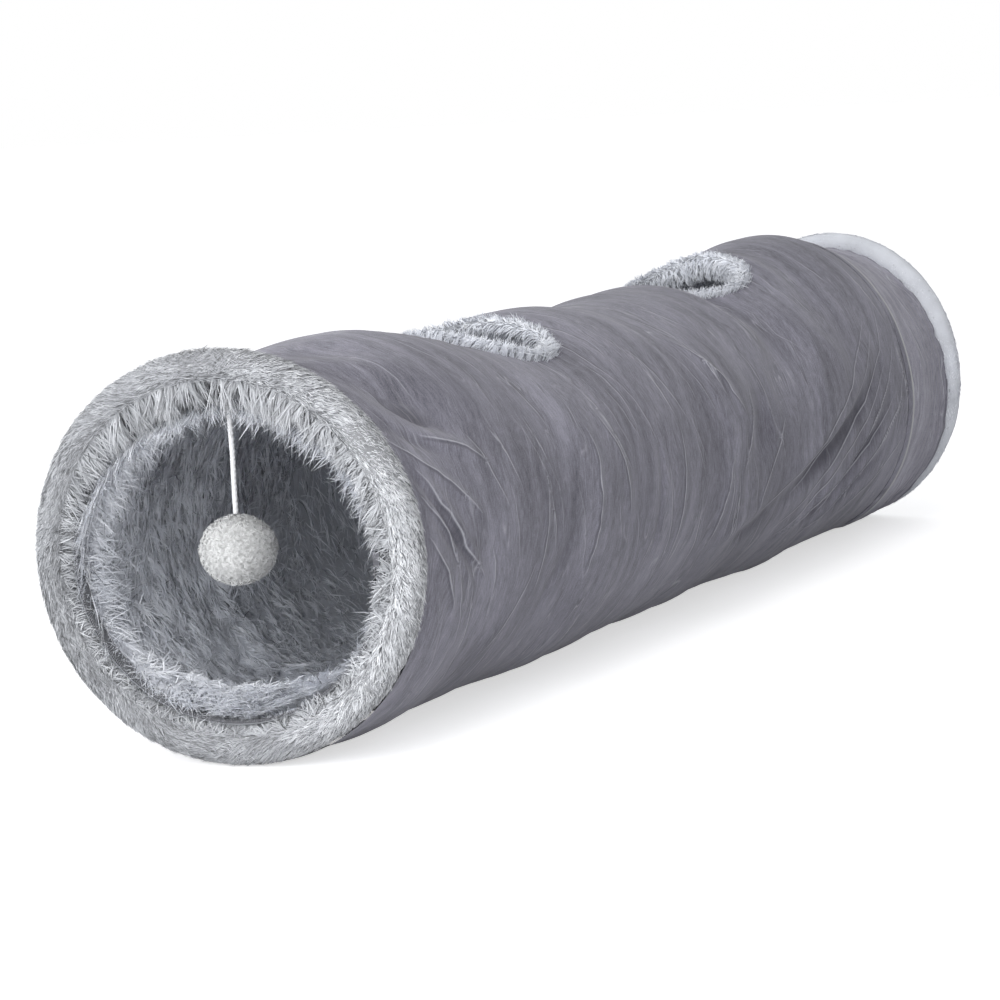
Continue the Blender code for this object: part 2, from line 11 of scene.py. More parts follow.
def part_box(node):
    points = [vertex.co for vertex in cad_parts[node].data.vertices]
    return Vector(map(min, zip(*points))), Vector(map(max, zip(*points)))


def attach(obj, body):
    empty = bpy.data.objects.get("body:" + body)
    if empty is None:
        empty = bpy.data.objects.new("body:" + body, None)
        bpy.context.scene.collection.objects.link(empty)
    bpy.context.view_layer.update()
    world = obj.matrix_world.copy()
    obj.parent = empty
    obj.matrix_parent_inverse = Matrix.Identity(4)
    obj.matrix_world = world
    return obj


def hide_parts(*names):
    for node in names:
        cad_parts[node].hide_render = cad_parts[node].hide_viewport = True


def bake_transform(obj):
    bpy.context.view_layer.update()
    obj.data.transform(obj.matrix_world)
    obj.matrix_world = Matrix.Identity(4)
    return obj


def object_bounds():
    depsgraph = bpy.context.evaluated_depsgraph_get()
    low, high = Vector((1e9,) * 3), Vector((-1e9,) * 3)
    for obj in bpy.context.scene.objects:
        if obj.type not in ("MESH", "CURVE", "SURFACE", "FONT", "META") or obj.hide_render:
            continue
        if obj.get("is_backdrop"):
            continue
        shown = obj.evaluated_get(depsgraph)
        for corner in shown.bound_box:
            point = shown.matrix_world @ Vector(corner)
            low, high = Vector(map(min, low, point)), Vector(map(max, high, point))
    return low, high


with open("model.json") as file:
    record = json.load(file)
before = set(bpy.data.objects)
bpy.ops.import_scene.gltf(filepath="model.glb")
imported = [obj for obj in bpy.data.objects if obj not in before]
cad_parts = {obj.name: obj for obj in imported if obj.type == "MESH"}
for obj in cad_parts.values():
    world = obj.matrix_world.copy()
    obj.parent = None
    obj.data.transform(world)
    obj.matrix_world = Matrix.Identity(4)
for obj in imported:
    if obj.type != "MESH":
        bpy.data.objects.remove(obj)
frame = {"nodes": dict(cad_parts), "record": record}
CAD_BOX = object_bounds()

PI = math.pi
TAU = math.tau
UP = np.array((0.0, 0.0, 1.0))

# Sizes of the part in metres, as in its source

LENGTH = 1.170
RIM_RADIUS = 0.150
TUBE_RADIUS = RIM_RADIUS * 0.98
BOW = 0.010
GAP = 0.0003
FACET = math.cos(PI / 28)
PLACES = np.array((0.0, 0.150, 0.419, 0.581, 0.846, 1.0))
WIDTHS = np.array((0.965, 1.0, 1.036, 1.036, 1.050, 0.965))
HEIGHTS = np.array((0.965, 0.993, 0.959, 0.952, 1.024, 0.965))
YAWS = np.array((-9.0, -5.0, -1.0, 3.0, 14.0, 12.0))
TOP_SAGS = np.array((0.02, 0.11, 0.05, 0.06, 0.03))
SIDE_BULGES = np.array((-0.02, 0.03, 0.03, 0.0, 0.0))
FLOOR_SAGS = np.array((0.0, 0.02, 0.02, 0.02, 0.0))
ROLL_RADIUS = 0.015
HOOP_REST = 0.005
CUFF_PLACE = 0.889
HOLES = ((0.305, 0.025), (0.695, 0.0))
HOLE_RADIUS = 0.062
TRIM_WIDTH = 0.018
HEM_OPEN_ANGLE = 28
KNOT_RADIUS = 0.0032
CORD_RADIUS = 0.0019
CORD_LENGTH = 0.074
CORD_DOWN_SHARES = np.array((0.0, 0.02, 0.045, 0.09, 0.16, 0.24, 0.33, 0.42,
                             0.51, 0.6, 0.69, 0.78, 0.86, 0.93, 0.97, 1.0))
CORD_SIDE_SHARES = np.array((0.0, 0.0, 0.0, 0.0005, 0.002, 0.004, 0.006, 0.007,
                             0.006, 0.004, 0.002, 0.001, 0.0, 0.0, 0.0, 0.0))
POMPOM_RADIUS = 0.0285
POMPOM_HEIGHT_SHARE = 0.9

# Settings of the finer cloth and pile; lengths are metres where nothing else is said
AROUND = 360                    # points round a skin
STEP = 0.0030                   # between its rows
LINING_RADIUS = 0.13            # at which the pile's clumps are laid out
HAIR_REST = 0.0004              # lowest that a hair's middle line lies over the floor
NEAR_CLOTH_RADIUS = 0.0116      # of the layers round the middle of each mouth's roll
NEAR_PILE_RADIUS = 0.0122
FAR_CLOTH_RADIUS = 0.0138
FAR_PILE_RADIUS = 0.0134
WADDING_RADIUS = 0.0060
MM_PER_DEGREE = math.radians(1) * TUBE_RADIUS * 1000
CREASE_REACH = 9                # mm
PAINTED_WIDTH = 12              # mm, of the widest fold that darkens a valley
SEEK_STEPS = 14                 # that find the skin under a point of a peep hole's ring

RINGS = ("near_mouth", "front_ring", "near_middle_ring", "far_middle_ring", "rear_ring", "far_mouth")
PANELS = ("near", "front_window", "middle", "rear_window", "far")
HOOPS = ("near_rim", "front", "near_middle", "far_middle", "rear", "far_rim")
LAST = 5

RESTS = np.full(6, HOOP_REST / LENGTH)
for end in (0, LAST):
    RESTS[end] = (ROLL_RADIUS + GAP) / math.cos(math.radians(YAWS[end])) / LENGTH


def centre_line(place):
    return np.stack([-4 * BOW * place * (1 - place), LENGTH * place, 0 * place], -1)


PIVOTS = {joint["name"]: np.array(joint["pos_m"]) for joint in frame["record"]["behaviour"]["joints"]}
KNOT = PIVOTS["pompom_swing_through"]
SHIFT = PIVOTS["rear_section_bend"] - centre_line(PLACES[3])
SHIFT[2] = 0.0


# Noise

def lattice(i, j, seed):
    h = (i * 374761393 + j * 668265263 + seed * 1274126177) & 0xFFFFFFFF
    h = ((h ^ (h >> 13)) * 1103515245) & 0xFFFFFFFF
    h = ((h ^ (h >> 16)) * 2246822519) & 0xFFFFFFFF
    return ((h ^ (h >> 15)) & 0xFFFFFF) / 8388607.5 - 1.0


def noise(u, v, seed, wrap=None):
    """Smooth noise from -1 to 1 on a lattice; wrap is the count of cells after which u repeats."""
    i, j = np.floor(u).astype(np.int64), np.floor(v).astype(np.int64)
    a, b = u - i, v - j
    a, b = a * a * (3 - 2 * a), b * b * (3 - 2 * b)
    first, second = (np.mod(i, wrap), np.mod(i + 1, wrap)) if wrap else (i, i + 1)
    low, high = (lattice(first, k, seed) * (1 - a) + lattice(second, k, seed) * a for k in (j, j + 1))
    return low * (1 - b) + high * b


def around(theta, y, cells, pitch, seed):
    """Noise with so many cells round the tube and cells of so many metres along it."""
    return noise(np.mod(theta + PI / 2, TAU) / TAU * cells, y / pitch, seed, cells)


def bell(value, middle, reach):
    return np.exp(-(((value - middle) / reach) ** 2))


def from_floor(count):
    """So many angles round the tube, from the floor on."""
    return np.arange(count) * TAU / count - PI / 2


def unit(rows):
    return rows / np.maximum(np.linalg.norm(rows, axis=-1, keepdims=True), 1e-9)


def nearest(seeds, spots):
    """The number of the seed nearest to each spot, and its distance."""
    tree = KDTree(len(seeds))
    for index, spot in enumerate(seeds):
        tree.insert(spot, index)
    tree.balance()
    found = [tree.find(spot) for spot in spots]
    return [index for _, index, _ in found], np.array([gone for _, _, gone in found])


# The tube's shape

def spread(place):
    """Panel number, share through its free cloth, and the blend of hoop sizes, at places along the tube."""
    number = np.clip(np.searchsorted(PLACES, place, side="left") - 1, 0, 4)
    start, end = PLACES[number] + RESTS[number], PLACES[number + 1] - RESTS[number + 1]
    through = np.clip((place - start) / (end - start), 0, 1)
    weight = through * through * (3 - 2 * through)
    return number, through, lambda row: row[number] + (row[number + 1] - row[number]) * weight


def surface(theta, place, depth=0.0):
    """Points at angles from +X and places along the tube, so far under the skin's plain outer face."""
    theta, place = np.broadcast_arrays(np.asarray(theta, float), np.asarray(place, float))
    number, through, mix = spread(place)
    yaw, sag = np.radians(mix(YAWS)), np.sin(PI * through) ** 2
    half_width = TUBE_RADIUS * (mix(WIDTHS) + SIDE_BULGES[number] * sag)
    half_height = TUBE_RADIUS * mix(HEIGHTS)
    sine = np.sin(theta)
    drop = np.where(sine > 0, TOP_SAGS[number] * sine**2, FLOOR_SAGS[number] * np.abs(sine) ** 3)
    across = (half_width - depth) * np.cos(theta)
    up = (half_height - depth) * sine - TUBE_RADIUS * sag * drop
    spot = centre_line(place) + SHIFT
    spot[..., 0] += np.cos(yaw) * across
    spot[..., 1] -= np.sin(yaw) * across
    spot[..., 2] = np.maximum(half_height * FACET + up, depth)
    return spot


def frame_at(theta, place, depth=0.0):
    """Point, outward normal, tangent round and tangent along on the plain shape."""
    step = 1e-3
    turn = unit(surface(theta + step, place, depth) - surface(theta - step, place, depth))
    along = unit(surface(theta, place + step, depth) - surface(theta, place - step, depth))
    return surface(theta, place, depth), unit(np.cross(along, turn)), turn, along


# Folds and creases that show in the photograph: (degrees, millimetres along) routes, height and width in mm
STROKES = (
    (((22, 985), (19, 950), (7.5, 864), (-3.5, 776), (-14.5, 690), (-23, 601), (-30, 560)), 2.4, 9),
    (((13, 965), (0, 885), (-10, 795), (-20, 705), (-31, 620)), -4.2, 10),
    (((12, 992), (6, 978), (-6, 940), (-18.5, 880), (-29, 802), (-39, 740)), 2.6, 8),
    (((4, 985), (-10, 945), (-22, 880), (-36, 800)), -4.0, 9),
    (((-2, 1010), (-14, 975), (-27, 905), (-42, 830)), 2.2, 7),
    (((-8, 1010), (-22, 965), (-38, 880)), -3.4, 9),
    (((-16, 1020), (-30, 980), (-44, 915)), 1.8, 7),
    (((42, 770), (34, 740), (23, 700), (8, 650), (-5, 600)), -6.5, 24),
    (((34, 860), (20, 835), (6, 800)), 2.8, 34),
    (((66, 890), (48, 880), (34, 868)), -2.5, 24),
    (((31, 22), (18, 40), (4, 66), (-8, 96)), -2.6, 6),
    (((28, 34), (15, 54), (1, 80), (-10, 108)), 1.6, 5),
    (((40, 20), (30, 42), (20, 74), (8, 108)), 1.4, 5),
    (((44, 30), (35, 60), (28, 95)), -2.0, 7),
    (((58, 60), (45, 110), (38, 145)), -3.4, 22),
    (((50, 78), (43, 96), (39, 112)), -3.6, 11),
    (((36, 70), (32, 92), (28, 116), (22, 136)), 2.0, 8),
    (((20, 26), (8, 50), (-6, 70)), 1.5, 4),
    (((8, 22), (-4, 44), (-16, 60)), 1.4, 4),
    (((14, 30), (2, 56), (-12, 82)), -1.6, 5),
    (((80, 60), (66, 100), (58, 150)), 1.8, 20),
    (((-12, 190), (-26, 170), (-40, 150)), 1.3, 6),
    (((-6, 250), (-20, 225), (-38, 205)), -1.4, 7),
    (((30, 330), (12, 345), (-6, 350)), 1.0, 6),
    (((50, 560), (32, 585), (16, 600)), 1.1, 6),
    (((10, 700), (-6, 660), (-20, 630)), 1.2, 4),
    (((26, 640), (12, 610), (-4, 590)), 1.0, 4),
    (((2, 560), (-14, 545), (-30, 535)), 1.1, 4),
    (((18, 470), (2, 462), (-16, 455), (-30, 452)), 1.1, 4),
    (((12, 420), (-4, 412), (-22, 408)), -1.4, 5),
    (((24, 300), (10, 296), (-8, 286), (-24, 276)), 1.0, 4),
    (((10, 215), (-6, 205), (-22, 196)), 1.1, 4),
    (((150, 950), (165, 860), (180, 770), (195, 700)), 2.2, 10),
    (((142, 965), (158, 880), (172, 790), (188, 715)), -3.2, 10),
    (((140, 240), (152, 300), (168, 340)), -2.6, 18),
    (((158, 60), (172, 95), (186, 130)), 1.6, 7),
)


def measured(route):
    """A crease's points in mm, the length up to each, and the box round it."""
    route = np.array(route, float) * (MM_PER_DEGREE, 1.0)
    reach = np.concatenate([[0], np.cumsum(np.linalg.norm(np.diff(route, axis=0), axis=1))])
    return route, reach, route.min(0) - CREASE_REACH, route.max(0) + CREASE_REACH


def beside(route, reach, across, along):
    """For each stretch of a route: the points' distance from it, their side, and the share of the route."""
    for first, line, run in zip(route, np.diff(route, axis=0), reach):
        length = np.linalg.norm(line)
        da, db = across - first[0], along - first[1]
        t = np.clip((da * line[0] + db * line[1]) / length**2, 0, 1)
        side = np.where(line[0] * db - line[1] * da > 0, 1.0, -1.0)
        share = np.clip((run + t * length) / reach[-1], 0, 1)
        yield np.hypot(da - t * line[0], db - t * line[1]), side, share


def stroke_field(theta, place, widest=math.inf):
    """Height in mm that the folds up to a width in mm add, positive outwards."""
    across, along = np.degrees(theta) * MM_PER_DEGREE, place * LENGTH * 1000
    total = np.zeros(np.broadcast(across, along).shape)
    for route, height, width in STROKES:
        if width <= widest:
            best, best_at = np.full(total.shape, 1e9), 0.0
            for gone, _, share in beside(*measured(route)[:2], across, along):
                best_at = np.where(gone < best, share, best_at)
                best = np.minimum(best, gone)
            total += height * np.sin(PI * (0.12 + 0.76 * best_at)) * bell(best, 0, width)
    return total


def free(place):
    """How freely the cloth moves: little at a hoop, most between two."""
    return np.maximum(np.sin(PI * spread(place)[1]) ** 0.7, 0.12)


def relief(theta, place):
    """Height of the real cloth over the plain shape: folds, slack and the fine ridges of its nap."""
    held, y = free(place), place * LENGTH
    slack = 2.3 * around(theta, y, 8, 0.075, 3) + 1.2 * around(theta, y, 17, 0.036, 4)
    bend = 0.010 * around(theta, y, 7, 0.10, 5) + 0.004 * around(theta, y, 16, 0.05, 6)
    ridge = 1 - np.abs(around(theta, y + bend, 13, 0.0105, 7))
    fine = 1 - np.abs(around(theta, y + 1.4 * bend, 19, 0.0058, 8))
    nap = (0.60 * ridge**3 + 0.36 * fine**3) * (0.5 + 0.5 * around(theta, y, 9, 0.07, 9))
    folds = np.clip(held * (2.0 * stroke_field(theta, place) + 1.15 * slack), -8.0, 4.6)
    crown = 6.5 * bell(y, 1.005, 0.075) * np.maximum(np.sin(theta), 0) ** 3
    pinch = -2.2 * bell((1 - RESTS[LAST]) * LENGTH, y, 0.006) * (1 + 0.8 * around(theta, 0 * y, 90, 1, 10))
    pleat = 0.7 * (1 - np.abs(around(theta, y, 46, 0.10, 13))) ** 4
    crease = 1.5 * (1 - np.abs(around(theta, y + 0.8 * bend, 6, 0.0095, 14))) ** 3
    cuff = (0.6 * around(theta, y, 60, 0.09, 12) + pleat + crease) * np.clip((y - 1.045) / 0.02, 0, 1)
    return (folds + crown + pinch + cuff + nap * np.maximum(held, 0.5)) / 1000 + tilt(theta, place)


def tilt(theta, place):
    """The cloth dips into the rear peep hole's near side behind a low brow, and rises at its far side."""
    y = (place - HOLES[1][0]) * LENGTH
    slope = np.where(y < 0, 0.016, 0.010) * np.clip(y / HOLE_RADIUS, -1, 1)
    slope = slope * bell(np.maximum(np.abs(y) - HOLE_RADIUS, 0), 0, 0.022)
    return np.maximum(np.sin(theta), 0) ** 4 * (0.0050 * bell(y, -0.084, 0.022) + slope)


def fan():
    """Thin creases between the folds that run down to the floor before the cuff."""
    rows = np.array((((50, 1002), (32, 962), (10, 868), (-6, 770), (-18, 680), (-28, 610)),
                     ((36, 1005), (20, 975), (2, 915), (-12, 830), (-24, 760), (-35, 700)),
                     ((22, 1012), (6, 980), (-10, 920), (-24, 850), (-36, 790), (-44, 745)),
                     ((10, 1022), (-4, 1000), (-18, 955), (-28, 905), (-38, 850), (-46, 800))), float)
    random = np.random.default_rng(17)
    for first, second in zip(rows[:-1], rows[1:]):
        for share in (0.0, 0.5):
            line = first + (second - first) * share
            line[:, 0] += random.uniform(-1.5, 1.5, len(line))
            cut = random.integers(0, 2, 2)
            yield line[cut[0]:len(line) - cut[1]]
    yield rows[-1]


def wrinkles(count):
    """Short creases all over the cloth, which lie round the tube."""
    random = np.random.default_rng(23)
    steps = np.linspace(-0.5, 0.5, 4)
    for _ in range(count):
        degrees, along = random.uniform(-70, 250), random.uniform(20, 1150)
        if -50 < degrees < 34 and 690 < along < 1020:
            continue
        reach, lean = random.uniform(12, 34), random.uniform(-0.75, -0.1)
        sway, bend = random.uniform(-3, 3, 2)
        rise = lean * reach * steps + sway * (4 * steps * steps - 0.5) + bend * steps**3
        yield np.stack([degrees + reach * steps, along + rise], -1)


CREASES = [measured(route) + (1.0,) for route in fan()]
CREASES += [measured(route) + (1.0,) for route, height, width in STROKES if height > 0 and width < 9]
CREASES += [measured(route) + (0.25 + 0.55 * (number % 7) / 6,) for number, route in enumerate(wrinkles(430))]


def fold_paint(theta, place):
    """Three values for each point: the signed distance from the nearest crease, 20 mm to the unit round 0.5;
    how much painted shade it gets, deep in a fold's valley and along the seam by the far roll; and the
    strength of that crease."""
    y = place * LENGTH
    painted_valley_shade = np.clip(-free(place) * stroke_field(theta, place, PAINTED_WIDTH) / 3.0, 0, 1)
    painted_valley_shade = painted_valley_shade + 0.5 * np.clip(-around(theta, y, 8, 0.075, 3) - 0.1, 0, 1)
    # Painted shadow along the seam where the cuff meets the far roll.
    painted_valley_shade = painted_valley_shade + 0.9 * bell((1 - RESTS[LAST]) * LENGTH - y, 0.001, 0.004)
    across, along = np.degrees(theta).ravel() * MM_PER_DEGREE, y.ravel() * 1000
    along = along + 2.0 * noise(across / 21, along / 40, 15) + 0.8 * noise(across / 8, along / 22, 16)
    gap, strength = np.full(across.shape, 1e3), np.zeros(across.shape)
    for route, reach, low, high, force in CREASES:
        near = np.flatnonzero((across > low[0]) & (across < high[0]) & (along > low[1]) & (along < high[1]))
        for gone, side, share in beside(route, reach, across[near], along[near]):
            nearer = gone < np.abs(gap[near])
            gap[near[nearer]] = (side * gone)[nearer]
            strength[near[nearer]] = force * np.sin(PI * share[nearer]) ** 0.6
    strength = strength * np.clip(1.25 - np.abs(gap) / 5, 0, 1)
    paint = np.stack([0.5 + np.clip(gap / 20, -0.5, 0.5), np.clip(painted_valley_shade.ravel(), 0, 1), strength], -1)
    return paint.reshape(theta.shape + (3,))


# Meshes

def link(name, mesh, material):
    mesh.materials.append(material)
    made = bpy.data.objects.new(name, mesh)
    bpy.context.scene.collection.objects.link(made)
    return made


def mesh_from(name, points, faces, uv=None):
    """A mesh from arrays; faces is a list of arrays that each hold faces of one size."""
    mesh = bpy.data.meshes.new(name)
    loops = np.concatenate([face.ravel() for face in faces]).astype(np.int32)
    totals = np.concatenate([np.full(len(face), face.shape[1]) for face in faces]).astype(np.int32)
    starts = np.concatenate([[0], np.cumsum(totals)[:-1]]).astype(np.int32)
    mesh.vertices.add(len(points))
    mesh.vertices.foreach_set("co", np.ascontiguousarray(points, np.float32).ravel())
    mesh.loops.add(len(loops))
    mesh.loops.foreach_set("vertex_index", loops)
    mesh.polygons.add(len(totals))
    mesh.polygons.foreach_set("loop_start", starts)
    mesh.polygons.foreach_set("loop_total", totals)
    mesh.update(calc_edges=True)
    mesh.shade_smooth()
    if uv is not None:
        add_uv(mesh, *uv)
    return mesh


def add_uv(mesh, name, corners):
    mesh.uv_layers.new(name=name).uv.foreach_set("vector", np.ascontiguousarray(corners, np.float32).ravel())


def add_colour(mesh, name, colour):
    """One colour for each point."""
    colour = np.ascontiguousarray(colour, np.float32)
    mesh.attributes.new(name, "FLOAT_COLOR", "POINT").data.foreach_set("color", colour.ravel())


def grid_faces(rows, columns, closed=True, flip=False):
    strips = columns if closed else columns - 1
    row, column = np.meshgrid(np.arange(rows - 1), np.arange(strips), indexing="ij")
    after = (column + 1) % columns
    faces = np.stack([row * columns + column, row * columns + after,
                      (row + 1) * columns + after, (row + 1) * columns + column], -1).reshape(-1, 4)
    return faces[:, ::-1] if flip else faces


def in_hole(spots, margin):
    """True where a point lies inside a peep hole, so far from its rim."""
    inside = np.zeros(spots.shape[:-1], bool)
    for place, shift in HOLES:
        middle = centre_line(np.array(place)) + SHIFT
        flat = np.hypot(spots[..., 0] - middle[0] - shift, spots[..., 1] - middle[1])
        inside |= (flat < HOLE_RADIUS - margin) & (spots[..., 2] > RIM_RADIUS)
    return inside


def hoop_frame(hoop):
    """A hoop's pivot and its level normal along the tube."""
    yaw = math.radians(YAWS[hoop])
    return centre_line(PLACES[hoop]) + SHIFT + RIM_RADIUS * UP, np.array((math.sin(yaw), math.cos(yaw), 0.0))


def middle_of(panel):
    return (PLACES[panel] + PLACES[panel + 1]) / 2


def join_at(piece, hoop, panel):
    """The distance from the hoop's plane to the panel's middle is worked out but not used; the piece's
    transform is baked into its mesh.
    """
    pivot, normal = hoop_frame(hoop)
    sign = 1 if panel == hoop else -1
    reach = ((surface(from_floor(AROUND), middle_of(panel)) - pivot) @ normal * sign).min()
    tuple(pivot)
    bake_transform(piece)


def tube_piece(name, low, high, depth, material, inward=False, columns=AROUND, step=STEP, paint=None):
    """A strip of cloth round the whole tube between two places. Its cloth coordinates are metres."""
    rows = max(3, int(round((high - low) * LENGTH / step)) + 1)
    theta, place = np.meshgrid(from_floor(columns), np.linspace(low, high, rows))
    at = lambda angle, spot: surface(angle, spot, depth(angle, spot))
    spots = at(theta, place)
    spots[..., 2] = np.maximum(spots[..., 2], 0.0)
    aside, ahead = 0.008, 0.001
    along = at(theta, np.clip(place + ahead, 0, 1)) - at(theta, np.clip(place - ahead, 0, 1))
    turn = at(theta + aside, place) - at(theta - aside, place)
    normals = unit(np.cross(along, turn)) * (-1 if inward else 1)
    faces = grid_faces(rows, columns, flip=not inward)
    row, column = np.repeat(np.arange(rows - 1), columns), np.tile(np.arange(columns), rows - 1)
    u = np.stack([column, column + 1, column + 1, column], -1) * TAU * TUBE_RADIUS / columns
    v = low * LENGTH + np.stack([row, row, row + 1, row + 1], -1) * (high - low) * LENGTH / (rows - 1)
    uv = np.stack([u, v], -1)
    uv = uv if inward else uv[:, ::-1]
    flat = spots.reshape(-1, 3)
    keep = ~in_hole(flat, TRIM_WIDTH / 3)[faces].any(axis=1)
    faces = faces[keep]
    used = np.zeros(len(flat), bool)
    used[faces.ravel()] = True
    index = np.cumsum(used) - 1
    mesh = mesh_from(name, flat[used], [index[faces]], ("cloth", uv[keep]))
    mesh.normals_split_custom_set_from_vertices(normals.reshape(-1, 3)[used])
    if paint is not None:
        add_colour(mesh, "fold", np.pad(paint(theta, place).reshape(-1, 3)[used], ((0, 0), (0, 1))))
    return link(name, mesh, material)


# Fur

def ribbons(name, root, normal, comb, length, width, lift, material, seed, tone, curl=0.12, droop=0.0):
    """Fur as flat tapering blades of three stretches, turned every way round their own length."""
    random = np.random.default_rng(seed)
    count = len(root)
    comb = unit(comb - normal * np.sum(comb * normal, -1, keepdims=True))
    side = np.cross(comb, normal)
    lift = np.clip(lift + random.normal(0, 0.07, count), 0.08, 0.97)[:, None]
    lay = np.sqrt(1 - lift**2)
    length, width = length[:, None], width[:, None]
    swing = random.normal(0, curl, count)[:, None]
    wave = random.normal(0, curl * 0.7, count)[:, None]
    shares = (0.0, 0.34, 0.7, 1.0)
    spots = []
    for t in shares:
        aside = swing * t * t + wave * math.sin(PI * t) * 0.5
        rise, out = lift * (t - 0.28 * t * t), lay * t * (0.75 + 0.25 * t)
        spot = root + length * (normal * rise + comb * out + side * aside)
        spot[:, 2] = np.maximum(spot[:, 2] - droop * length[:, 0] * t * t, HAIR_REST)
        spots.append(spot)
    spots = np.stack(spots, 1)
    run = unit(spots[:, 2] - spots[:, 0])
    flat = unit(np.cross(run, normal))
    roll = random.uniform(-0.9, 0.9, count)[:, None]
    across = flat * np.cos(roll) + np.cross(flat, run) * np.sin(roll)
    facing = np.cross(run, across)
    facing *= np.sign(np.sum(facing * normal, -1, keepdims=True) + 1e-9)
    points, normals = np.empty((2, count, 7, 3))
    for step, share in enumerate((0.9, 1.0, 0.72)):
        for edge, sign in enumerate((-0.5, 0.5)):
            points[:, 2 * step + edge] = spots[:, step] + across * width * share * sign
            normals[:, 2 * step + edge] = unit(normal * 0.85 + facing * 0.45 + across * sign * 0.55)
    points[:, 6] = spots[:, 3]
    normals[:, 6] = unit(normal * 0.85 + facing * 0.45)
    points[..., 2] = np.maximum(points[..., 2], 0.0)
    blade, tip = np.array(((0, 1, 3, 2), (2, 3, 5, 4))), np.array((4, 5, 6))
    first = np.arange(count)[:, None] * 7
    cells = int(math.ceil(math.sqrt(count)))
    cell = np.stack([np.arange(count) % cells, np.arange(count) // cells], -1) / cells
    corners = np.array(((0.1, 0), (0.9, 0), (0.1, 0.34), (0.9, 0.34), (0.18, 0.7), (0.82, 0.7), (0.5, 1.0)))
    place = cell[:, None, :] + corners * 0.9 / cells
    loops = np.concatenate([place[:, blade.ravel()].reshape(-1, 2), place[:, tip].reshape(-1, 2)])
    faces = [(first + blade.ravel()).reshape(-1, 4), first + tip]
    mesh = mesh_from(name, points.reshape(-1, 3), faces, ("OFBake", loops))
    mesh.normals_split_custom_set_from_vertices(normals.reshape(-1, 3))
    colour = np.ones((count, 7, 4), np.float32)
    colour[..., 0] = np.clip(tone, 0, 1.4)[:, None]
    colour[..., 1] = np.repeat(shares, (2, 2, 2, 1))
    colour[..., 2] = random.uniform(0, 1, count)[:, None]
    add_colour(mesh, "fur", colour)
    return link(name, mesh, material)


def clumps(u, v, size, seed):
    """For strands at metres (u, v): the offset to their clump's middle, and its three random values."""
    i, j = np.floor(u / size).astype(np.int64), np.floor(v / size).astype(np.int64)
    best = np.full(u.shape, 1e9)
    offset, values = np.zeros(u.shape + (2,)), np.zeros(u.shape + (3,))
    for a in (i - 1, i, i + 1):
        for b in (j - 1, j, j + 1):
            cu = (a + 0.5 + 0.42 * lattice(a, b, seed)) * size
            cv = (b + 0.5 + 0.42 * lattice(a, b, seed + 1)) * size
            gone = np.hypot(u - cu, v - cv)
            near = gone < best
            best = np.where(near, gone, best)
            offset[near] = np.stack([cu - u, cv - v], -1)[near]
            values[near] = np.stack([lattice(a, b, seed + k) for k in (2, 3, 4)], -1)[near]
    return offset, values


def gather(first, second, offset, pull):
    """Combs strands towards their clump's middle."""
    return (first * offset[:, :1] + second * offset[:, 1:]) * pull


def lining_depth(theta, place):
    """The lining stands in at the hoops, most at the front one, and is heaped on the near mouth's floor."""
    sag = np.sin(PI * spread(place)[1]) ** 2
    y = place * LENGTH
    turn = np.mod(theta + PI / 2, TAU)
    heap = 0.039 * bell(np.minimum(turn, TAU - turn), 0, 0.80) * bell(y, 0.036, 0.023)
    heap = heap * (1 + 0.30 * around(theta, y, 12, 0.05, 23))
    lip = 0.0030 * bell(y, 0.0115, 0.010) * (1 + 0.9 * around(theta, 0 * y, 11, 1, 22))
    plain = 0.0155 - 0.0035 * sag + 0.0016 * around(theta, y, 9, 0.06, 21)
    return plain + 0.007 * bell(y, PLACES[1] * LENGTH, 0.018) + heap + lip - tilt(theta, place)


def inside_pile(name, low, high, count, length, width, material, seed, mouth=None):
    """Long pile on the lining, combed loosely, thicker at a mouth's edge, where it hangs over the roll."""
    random = np.random.default_rng(seed)
    theta = random.uniform(-PI / 2, 1.5 * PI, count)
    place = random.uniform(low, high, count)
    if mouth is not None:
        near = random.random(count) < 0.30
        edge = random.uniform(0, 0.026, count) / LENGTH
        place = np.where(near, low + edge if mouth == 0 else high - edge, place)
    keep = ~in_hole(surface(theta, place, lining_depth(theta, place)), 0.004)
    if mouth == 0:
        keep &= (np.abs(theta - PI / 2) > 0.085) | ((place - low) * LENGTH > 0.040)
    theta, place = theta[keep], place[keep]
    spot, outward, turn, along = frame_at(theta, place, lining_depth(theta, place))
    count = len(theta)
    u, v = theta * LINING_RADIUS, place * LENGTH
    offset, value = clumps(u, v, 0.0115, seed)
    swirl = 1.9 * noise(u / 0.06, v / 0.06, seed + 9) + 0.9 * value[:, 0]
    comb = turn * np.sin(swirl)[:, None] - along * np.cos(swirl)[:, None] + gather(turn, along, offset, 190)
    comb[:, 2] -= 0.30
    lift = 0.46 + 0.14 * value[:, 1]
    size = length * (1 + 0.25 * value[:, 2]) * random.uniform(0.72, 1.12, count)
    size = size * (1 - 0.22 * np.clip((v - 0.06) / 0.05, 0, 1))
    tone = 0.5 + 0.38 * value[:, 0] + random.normal(0, 0.10, count)
    if mouth is not None:
        rim = bell((place - low if mouth == 0 else high - place) * LENGTH, 0, 0.020)
        sign = 1 if mouth == 0 else -1
        back = np.where(random.random(count) < 0.6, -1.7, 0.4)
        comb = comb * (1 - 0.8 * rim[:, None]) + along * (back * sign * rim)[:, None]
        lift = lift + (np.where(back * rim < 0, 0.62, 0.85) - lift) * rim
        size = size * (1 + random.uniform(0.0, 0.6, count) * rim)
        comb = comb + turn * (random.normal(0, 0.4, count) * rim)[:, None]
        # Near a mouth's edge the pile is paler, most on the -X side: painted highlight.
        tone = tone + (0.05 + 0.30 * np.maximum(-np.cos(theta), 0)) * rim
    return ribbons(name, spot, -outward, comb, size, width * random.uniform(0.7, 1.3, count), lift, material,
                   seed + 1, tone, curl=0.22, droop=0.20)


# Rolls round the mouths

